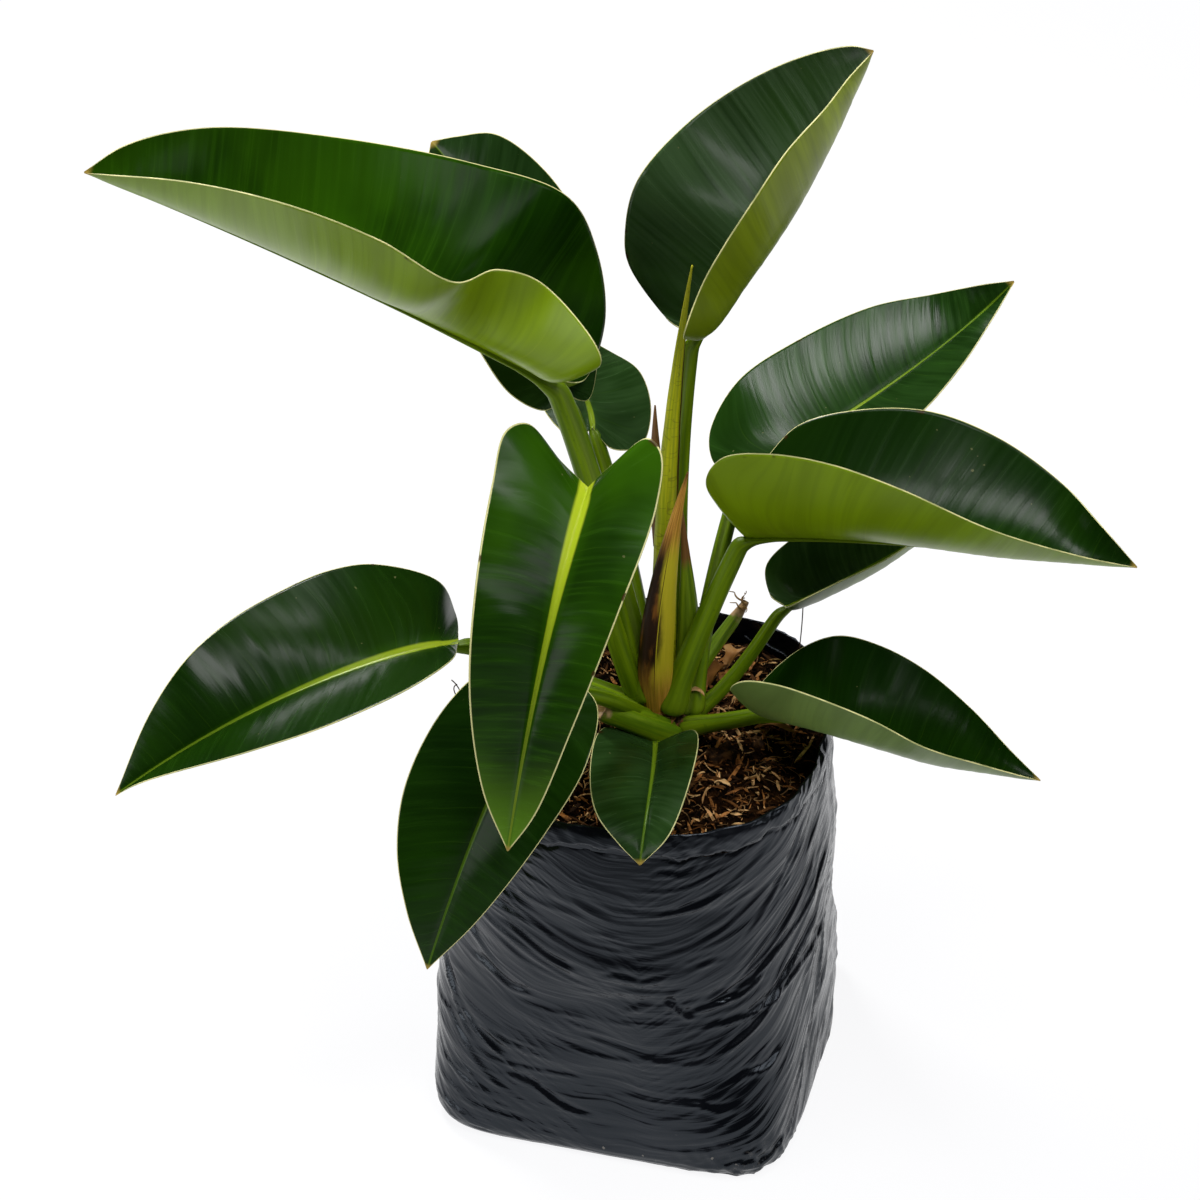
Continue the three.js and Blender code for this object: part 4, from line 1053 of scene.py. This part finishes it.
def strands(angle, z):
    """Fine creases that run along the pull of the film, fanning out at the sides."""
    rng = np.random.default_rng(12)
    turn = around(angle, FRONT)
    share = (turn + pi) / tau
    height = drape(turn, z) + 14 * (lattice_noise(share * 9, z / 60, 9, 21) - 0.5)
    depth = np.zeros(height.shape)
    for _ in range(STRANDS):
        centre, reach = rng.uniform(-pi, pi), 10**rng.uniform(-1.1, -0.2)
        level, slope = rng.uniform(LOWEST_STRAND, HIGHEST_STRAND), rng.normal(0, 15)
        width, size = rng.uniform(0.6, 1.3), rng.uniform(0.15, 0.62)
        along = around(turn, centre)
        off = height - level - slope * along - 4 * reach * np.sin(2.5 * along / reach)
        window = np.clip(1 - (along / reach)**2, 0, 1) * bell(off, 14)
        depth += size * window * (1 / (1 + (off / width)**2) - 0.5 * bell(off - 2.8 * width, 1.7 * width))
    return depth


def long_creases(angle, z):
    """The few long creases and slits that stand out."""
    turn = np.degrees(around(angle, FRONT))
    depth = np.zeros(np.broadcast(angle, z).shape)
    for from_turn, from_z, to_turn, to_z, size in CREASES:
        t = (turn - from_turn) / (to_turn - from_turn)
        line = from_z + (to_z - from_z) * np.clip(t, -0.2, 1.2) + 1.5 * np.sin(7 * np.clip(t, 0, 1))
        off = z - line
        if size > 0:
            profile = 1 / (1 + off**2) - 0.7 * bell(off - 3.2, 2.2)
        else:
            profile = bell(off, 1.5) - 0.9 * bell(off + 3.0, 1.7)
        depth += size * ease(t, -0.08, 0.25) * (1 - ease(t, 0.75, 1.08)) * profile
    return depth


def side_pleats(angle, z):
    """Upright folds at either side, where the flat bag's edges are."""
    depth = np.zeros(np.broadcast(angle, z).shape)
    for centre, seed in PLEATED_SIDES:
        rng = np.random.default_rng(seed)
        for k in range(PLEATS):
            place = centre + rng.normal(0, 0.2)
            lean = rng.normal(0, 0.0012)
            turn = around(angle, place + lean * (z - 100) + 0.02 * np.sin(z / 17 + k))
            low, high = sorted(rng.uniform(10, 205, 2))
            starts, ends = (ease(z, end - PLEAT_FADE, end + PLEAT_FADE) for end in (low, high))
            width = rng.uniform(0.03, 0.06)
            size = rng.uniform(0.2, 0.5)
            fold = bell(turn, width) - 0.6 * bell(turn - 2.4 * width, width)
            depth += size * starts * (1 - ends) * fold
    return depth


def wall_depth(angle, z):
    """How far the film stands off the smooth wall."""
    rim = rim_height(angle)
    line = rim - CUFF + 1.6 * np.sin(7 * angle + 1) + np.sin(19 * angle) + 0.6 * np.sin(47 * angle)
    cuff = ease(z, line - 0.7, line + 0.7)
    folds = film_folds(angle, z) + strands(angle, z) + long_creases(angle, z) + side_pleats(angle, z)
    rough = 0.5 * np.sin(5 * angle + 0.03 * z) + 0.35 * np.sin(11 * angle + 2 + 0.05 * z)
    depth = (folds * (1 - 0.8 * cuff) + rough) * (0.25 + 0.75 * ease(z, 0, 16))
    # the turned-down cuff, with a groove under it and a crumpled face
    depth += CUFF_RISE * cuff * (1 - 0.4 * ease(z, rim - 6, rim))
    depth -= 1.2 * bell(z - line + 1.6, 1.3) * (0.4 + 0.6 * lattice_noise(angle * 9, 0 * z, 1000, 6))
    depth += 0.9 * cuff * (ridged(lattice_noise(angle * 14 + z / 9, z / 6, 1000, 31)) - 0.6)
    # the crumpled front corner of the foot
    crumple = bell(around(angle, CRUMPLED_AT), CRUMPLE_SPREAD) * bell(z, CRUMPLE_HEIGHT)
    crushed = ridged(lattice_noise(angle * 24 + z / 12, z / 4.5 - angle * 6, 1000, 32))
    depth += crumple * (3.2 * crushed - 2.0)
    # the lip of the rim, and the hem above the foot
    lip = ease(z, rim - LIP, rim)
    depth += lip * (0.72 * np.sin(9 * angle + 1) + 0.48 * np.sin(23 * angle) - 1.0)
    hem = ease(z, *HEM_FOOT) * (1 - ease(z, *HEM_TOP)) * (0.6 + 0.4 * np.sin(5 * angle + 2))
    return np.clip(depth + HEM_RISE * hem, *DEPTH_LIMITS)


def crest(wave, sharpness):
    """Bright where smooth noise passes its middle."""
    return 1.0 - abs((wave - 0.5) * sharpness)


def film_material():
    n = Nodes("bag_film")
    height, run, level = n.value("drape"), n.value("run"), n.value("level")
    aside = abs(run)
    height = height + n.sheet_noise(run * 0.012, level * 0.012, 2.0) * 30.0
    long_crests = crest(n.sheet_noise(run * 0.008, height * 0.075, 1.0), 4.0)
    short_crests = crest(n.sheet_noise(run * 0.02, height * 0.2, 1.0), 4.0)
    fine_crests = crest(n.sheet_noise(run * 0.03, height * 0.42, 1.0), 4.0)
    # creases that slant down to the middle of the front, in patches
    slanted = crest(n.sheet_noise(run * 0.012, (level - aside * 0.75) * 0.13, 1.5), 5.0)
    patches = n.sheet_noise(run * 0.014, level * 0.016, 1.0).between(0.42, 0.62)
    shown = patches * aside.between(110.0, 160.0, 1.0, 0.0)
    relief = long_crests + short_crests * 0.35 + fine_crests * 0.16 + slanted * shown * 0.9
    relief = (relief + n.grain(900.0, 2.0) * 0.015) * aside.between(266.0, 286.0, 1.0, 0.0)
    dust = n.grain(30.0, 4.0, 0.6)
    colour = n.mix(dust.between(0.4, 0.75), *FILM_TONES)
    specks = n.grain(260.0, 1.0).between(0.76, 0.79, 0.0, 0.8)
    colour = colour.toward(FILM_SPECK, specks * level.between(6.0, 34.0, 0.7, 0.02))
    scuffs = n.grain(210.0, 3.0, 0.7).between(0.56, 0.66)
    colour = colour.toward(FILM_SCUFF, scuffs * n.value("corner_mm").between(5.0, 24.0, 0.8, 0.0))
    n.feed(n.shader.inputs["Specular Tint"], FILM_TINT)
    return n.finish(colour, dust.between(0.3, 0.7, 0.17, 0.26), 0.42, (relief, 0.32, 0.0014))


def make_bag():
    # the columns stand closer together over the front
    spread = np.linspace(0, tau, BAG_SIDES, endpoint=False)
    angle = (spread - FRONT_GATHER * np.cos(spread))[None, :]
    rim = rim_height(angle)
    z = FOOT_RISE + (rim - FOOT_RISE) * np.linspace(0, 1, BAG_ROWS)[:, None]
    # the foot is drawn in under the wall
    radius = bag_radius(angle, z) + wall_depth(angle, z) - FOOT_TUCK * bell(z - FOOT_RISE, 2.0)
    inside_z = rim - np.array(INSIDE_DROPS)[:, None]
    inside_radius = bag_radius(angle, inside_z) + wall_depth(angle, inside_z) * 0.8 - FILM_GAP
    inside_radius[0] = radius[-1] - 0.6
    shares, levels = np.array(FOOT_RINGS[::-1]).T[..., None]
    points = np.concatenate([about_axis(radius[:1] * shares, angle, levels), about_axis(radius, angle, z),
                             about_axis(inside_radius, angle, inside_z)])
    faces = grid_faces(len(points), BAG_SIDES, closed=True)
    faces.append(list(range(BAG_SIDES - 1, -1, -1)))
    turn = around(np.broadcast_to(angle, points.shape[:2]), FRONT)
    level = points[..., 2]
    corner = np.linalg.norm(points - np.array(SCUFFED_CORNER), axis=-1)
    values = dict(drape=drape(turn, level), run=turn * BAG_HALF_WIDTH, level=level, corner_mm=corner)
    make_piece("bag_film", points.reshape(-1, 3), faces, [film_material()], "bag", "grow_bag", values)


# Soil, and what lies on it

def soil_height(x, y):
    far = np.hypot(x - CROWN[0], y - CROWN[1])
    lumps = np.sin(x * 0.21 + 1) * np.cos(y * 0.17) + 0.6 * np.sin(x * 0.11 - y * 0.23)
    heap = SOIL_HEAP * bell(np.hypot(x - HEAP_AT[0], y - HEAP_AT[1]), HEAP_WIDTH)
    return SOIL_LEVEL + SOIL_MOUND * bell(far, MOUND_WIDTH) + SOIL_LUMP * lumps + heap


def soil_crumbs(x, y):
    """Crumbs of the mix, in millimetres over the smooth surface."""
    rng = np.random.default_rng(5)
    height = np.zeros(x.shape)
    for wave, size in CRUMBS:
        for _ in range(5):
            heading = rng.uniform(0, tau)
            shift = rng.uniform(0, tau)
            along = (x * np.cos(heading) + y * np.sin(heading)) * tau / (wave * rng.uniform(0.8, 1.25))
            across = (y * np.cos(heading) - x * np.sin(heading)) / wave
            height += size * 0.5 * np.sin(along + shift + 1.3 * np.sin(across))
    return height


def soil_material():
    n = Nodes("soil_mix")
    coarse, fine = n.grain(130.0, 5.0, 0.7), n.grain(700.0, 4.0, 0.7)
    colour = n.mix(coarse.between(0.42, 0.68), *SOIL_TONES)
    colour = colour.toward(SOIL_PALE, fine.between(0.58, 0.7, 0.0, 0.7))
    return n.finish(colour, 0.92, 0.05, (coarse + fine * 0.6, 0.9, 0.003))


def make_soil():
    share = np.linspace(1, 0.004, SOIL_RINGS)[:, None]**0.85
    angle = np.linspace(0, tau, SOIL_SIDES, endpoint=False)[None, :]
    radius = share * (bag_radius(angle, SOIL_LEVEL) - SOIL_GAP)
    x, y = radius * np.cos(angle), radius * np.sin(angle)
    z = soil_height(x, y) + soil_crumbs(x, y) * ease(1 - share, 0, 0.03) - 0.8
    surface = np.stack([x, y, z], -1)
    points = np.concatenate([surface[:1] - (0, 0, SOIL_SKIRT), surface]).reshape(-1, 3)
    faces = grid_faces(SOIL_RINGS + 1, SOIL_SIDES, closed=True)
    faces.append(list(range(len(points) - SOIL_SIDES, len(points))))
    make_piece("soil_top", points, faces, [soil_material()], "soil", "soil")


def soil_place(rng, reach=0.95):
    """A random place on the soil, clear of the crown."""
    while True:
        angle = rng.uniform(0, tau)
        far = (rng.uniform(0, 1)**0.5) * reach * (bag_radius(angle, SOIL_LEVEL) - 3)
        x, y = far * cos(angle), far * sin(angle)
        if np.hypot(x - CROWN[0], y - CROWN[1]) > CROWN_RADIUS + CROWN_CLEARANCE:
            return x, y


def chip(rng, x, y):
    """A splinter of coconut husk: a bent flat strip with pointed ends."""
    length = 10**rng.uniform(0.1, 1.0 + 0.25 * (rng.uniform() < 0.12))
    width = min(length * rng.uniform(0.05, 0.24), WIDEST_CHIP)
    heading = rng.uniform(0, tau)
    tilt = rng.normal(0, 0.3)
    roll = rng.normal(0, 0.5)
    bend = rng.normal(0, 0.18) * length
    t = np.linspace(-0.5, 0.5, 6)[:, None]
    half = 0.5 * width * (1 - (2 * np.abs(t))**rng.uniform(1.5, 4)) + 0.05
    along = np.array([cos(heading) * cos(tilt), sin(heading) * cos(tilt), sin(tilt)])
    across = np.array([-sin(heading) * cos(roll), cos(heading) * cos(roll), sin(roll)])
    up = np.cross(along, across)
    line = along * t * length + up * bend * (0.25 - t**2) * 2 + across * bend * 0.4 * np.sin(3 * t)
    base = np.array([x, y, soil_height(x, y) + rng.uniform(0.2, 2.0)])
    thick = up * (0.35 + 0.08 * width) / 2
    turns = ((1, 1), (-1, 1), (-1, -1), (1, -1))
    corners = [line + across * half * side + thick * top for side, top in turns]
    points = base + np.stack(corners, 1)
    return points.reshape(-1, 3), grid_faces(6, 4, closed=True) + [[3, 2, 1, 0], [20, 21, 22, 23]]


def chip_material():
    n = Nodes("husk_chip")
    tone = n.value("tone")
    grain = n.grain(350.0, 4.0, 0.7)
    colour = n.mix(tone.between(0.0, 0.5), *CHIP_TONES)
    colour = colour.toward(CHIP_PALE, tone.between(0.42, 0.8))
    colour = colour.toward(CHIP_GRAIN, grain.between(0.42, 0.66, 0.0, 0.75))
    return n.finish(colour, 0.8, 0.1, (grain, 0.5, 0.0006))


def make_chips():
    rng = np.random.default_rng(17)
    parts, tones = [], []
    for _ in range(CHIPS):
        parts.append(chip(rng, *soil_place(rng)))
        tones += [rng.beta(0.65, 1.4)] * len(parts[-1][0])
    make_piece("husk_chips", *merge(parts), [chip_material()], "soil", "soil", dict(tone=tones), smooth=False)


def bark_material():
    n = Nodes("bark")
    grain = n.grain(160.0, 5.0, 0.7)
    colour = n.mix(grain.between(0.4, 0.68), *BARK_TONES)
    return n.finish(colour, 0.75, 0.1, (grain, 0.8, 0.002))


def make_bark():
    """Dark chunks of bark with upright ridges, half sunk in the mix."""
    turn = np.linspace(0, tau, 40, endpoint=False)
    edge = (np.abs(np.cos(turn))**5 + np.abs(np.sin(turn))**5)**(-1 / 5)
    rise = np.array([0.0, 0.5, 0.85, 1.0, 1.0])[:, None]
    inset = np.array([1.0, 1.0, 0.96, 0.8, 0.3])[:, None]
    parts = []
    for number, (place, (long, wide, high), heading) in enumerate(BARK):
        outline = edge * (1 + 0.07 * wave_noise(turn * 6, number, (9.0, 4.1, 2.3)))
        x, y = long / 2 * inset * outline * np.cos(turn), wide / 2 * inset * outline * np.sin(turn)
        z = rise * (high * (1 + 0.12 * np.sin(3 * turn + number)) + 0.06 * x)
        turned = x * cos(heading) - y * sin(heading), x * sin(heading) + y * cos(heading)
        parts.append(capped_tube(np.stack([*turned, z], -1) + np.array(place)))
    make_piece("bark_chunks", *merge(parts), [bark_material()], "soil", "soil")


def make_fibres():
    rng = np.random.default_rng(23)
    t = np.linspace(0, 1, 12)
    parts = []
    for _ in range(FIBRES):
        start = soil_place(rng)
        length = rng.uniform(5, 22)
        heading = rng.uniform(0, tau) + rng.normal(0, 2.2) * t
        heading = heading + 0.5 * np.sin(rng.uniform(3, 9) * t + rng.uniform(0, 6))
        step = np.stack([np.cos(heading), np.sin(heading)], 1) * length / 12
        x, y = (np.array(start) + np.cumsum(step, 0)).T
        if np.hypot(x, y).max() > FIBRE_REACH:
            continue
        rise = rng.uniform(0.5, 2.2) + rng.uniform(0, 3.5) * np.sin(pi * t)**2
        line = np.column_stack([x, y, soil_height(x, y) + rise])
        parts.append(thread(line, np.full(12, rng.uniform(0.12, 0.32)), 4))
    make_piece("husk_fibres", *merge(parts), [DRIED], "papery", "soil")


def scrap(start, heading, length, width, curl, lift, seed):
    """A dried leaf scrap: a strip that curls along its length and cups across."""
    rows, columns = 26, 9
    t = np.linspace(0, 1, rows)
    turned = heading + curl * t
    pitch = lift * np.cos(2.4 * t + np.random.default_rng(seed).uniform(0, 1))
    step = np.column_stack([np.cos(turned) * np.cos(pitch), np.sin(turned) * np.cos(pitch), np.sin(pitch)])
    line = np.asarray(start, float) + np.cumsum(step, 0) * length / rows
    upward = np.array([0, 0, 1.0])
    side = unit(np.cross(step, upward) + 0.35 * np.sin(5 * t)[:, None] * upward)
    up = unit(np.cross(side, step))[:, None]
    half = (width / 2 * np.sin(pi * np.clip(t, 0.02, 0.98))**0.6 * (1 + 0.15 * np.sin(17 * t)))[:, None]
    v = np.linspace(-1, 1, columns)
    cupped = 0.45 * half * v**2 + 0.25 * np.sin(9 * t[:, None] + 5 * v)
    points = line[:, None] + side[:, None] * (half * v)[..., None] + up * cupped[..., None]
    faces = grid_faces(rows, columns) + grid_faces(rows, columns, rows * columns, flipped=True)
    return np.concatenate([points, points - SCRAP_THICKNESS * up]).reshape(-1, 3), faces


def scrap_material():
    n = Nodes("leaf_scrap")
    tones = n.value("tone") + (n.grain(90.0, 4.0, 0.65) - 0.5) * 0.7
    colour = n.mix(tones.between(0.05, 0.5), *SCRAP_TONES)
    colour = colour.toward(SCRAP_PALE, tones.between(0.5, 0.95))
    return n.finish(colour, 0.65, 0.15, (n.grain(700.0, 2.0), 0.3, 0.0004))


def make_scraps():
    parts, tones = [], []
    for number, (*shape, tone) in enumerate(SCRAPS):
        parts.append(scrap(*shape, number + 1))
        tones += [tone] * len(parts[-1][0])
    make_piece("leaf_scraps", *merge(parts), [scrap_material()], "papery", "soil", dict(tone=tones))


def thin_root_material():
    n = Nodes("thin_root")
    return n.finish(n.mix(n.grain(200.0, 3.0), *ROOT_TONES), 0.6)


def make_thin_roots():
    lines = (at_share(cubic(root, 60), np.linspace(0, 1, 24)) for root in THIN_ROOTS)
    parts = [thread(line, np.full(24, THIN_ROOT_RADIUS)) for line in lines]
    make_piece("thin_roots", *merge(parts), [thin_root_material()], "papery", "soil")


# Floor, light and camera

def floor_material():
    """A pale sheet that glows with painted light: brightest under the plant and dimmer towards the front. The
    glow lights the plant from below and thins the shadow under the bag.
    """
    n = Nodes("floor")
    x, y = (n.add("ShaderNodeSeparateXYZ", axis, {"Vector": n.place()}) for axis in "XY")
    near = (y + x.between(-0.75, -0.45, 0.5, 0.0)).between(-0.48, -0.17)
    side = x.between(0.9, 1.6, 1.0, 0.0) * x.between(-1.7, -0.8)
    glow_pool = near * (side * y.between(1.5, 2.2, 1.0, 0.0))
    n.feed(n.shader.inputs["Emission Color"], n.mix(glow_pool, *FLOOR_GLOWS))
    n.feed(n.shader.inputs["Emission Strength"], 1.0)
    return n.finish(n.mix(n.grain(2.0, 2.0), *FLOOR_TONES), 0.9, 0.0)


def make_floor():
    bpy.ops.mesh.primitive_plane_add(size=FLOOR_WIDTH, location=(0, 0, 0))
    floor = bpy.context.object
    floor.name = "floor"
    floor.data.materials.append(floor_material())


def softbox(name, place, size, power):
    """A soft rectangular light in metres, turned to the plant."""
    data = bpy.data.lights.new(name, "AREA")
    data.shape = "RECTANGLE"
    data.size, data.size_y = size
    data.energy = power
    light = bpy.data.objects.new(name, data)
    bpy.context.collection.objects.link(light)
    light.location = place
    back = unit(np.array(place, float) - np.array(LIT_POINT, float))
    right = unit(np.cross((0, 0, 1.0), back))
    turn = np.column_stack([right, np.cross(back, right), back])
    light.rotation_euler = Matrix(turn.tolist()).to_euler()


def make_world():
    world = bpy.data.worlds.new("studio")
    bpy.context.scene.world = world
    world.use_nodes = True
    colour, strength = world.node_tree.nodes["Background"].inputs[:2]
    colour.default_value = (1, 1, 1, 1)
    strength.default_value = WORLD_STRENGTH


def make_camera():
    aim = np.array(AIM) * MM
    away = CAMERA_DISTANCE * MM * np.array([0, -cos(CAMERA_ELEVATION), sin(CAMERA_ELEVATION)])
    data = bpy.data.cameras.new("camera")
    data.lens = LENS
    data.sensor_width = SENSOR_WIDTH
    camera = bpy.data.objects.new("camera", data)
    bpy.context.collection.objects.link(camera)
    camera.location = (aim + away).tolist()
    camera.rotation_euler = (pi / 2 - CAMERA_ELEVATION, 0, 0)
    bpy.context.scene.camera = camera


# The whole plant

MARGIN = margin_material()
STALK = stalk_material()
DRIED = dried_material()
midribs = {name: make_blade(name, leaf) for name, leaf in LEAVES.items()}
for name, stalk in STALKS.items():
    make_stalk(name, *stalk, *midribs[name])
make_young_leaf()
make_sheaths()
make_cut_stub()
make_old_stub()
make_crown()
make_bag()
make_soil()
make_chips()
make_bark()
make_fibres()
make_scraps()
make_thin_roots()

make_floor()
make_world()
for name, light in LIGHTS.items():
    softbox(name, *light)
make_camera()
bpy.context.scene.view_settings.view_transform = "Standard"
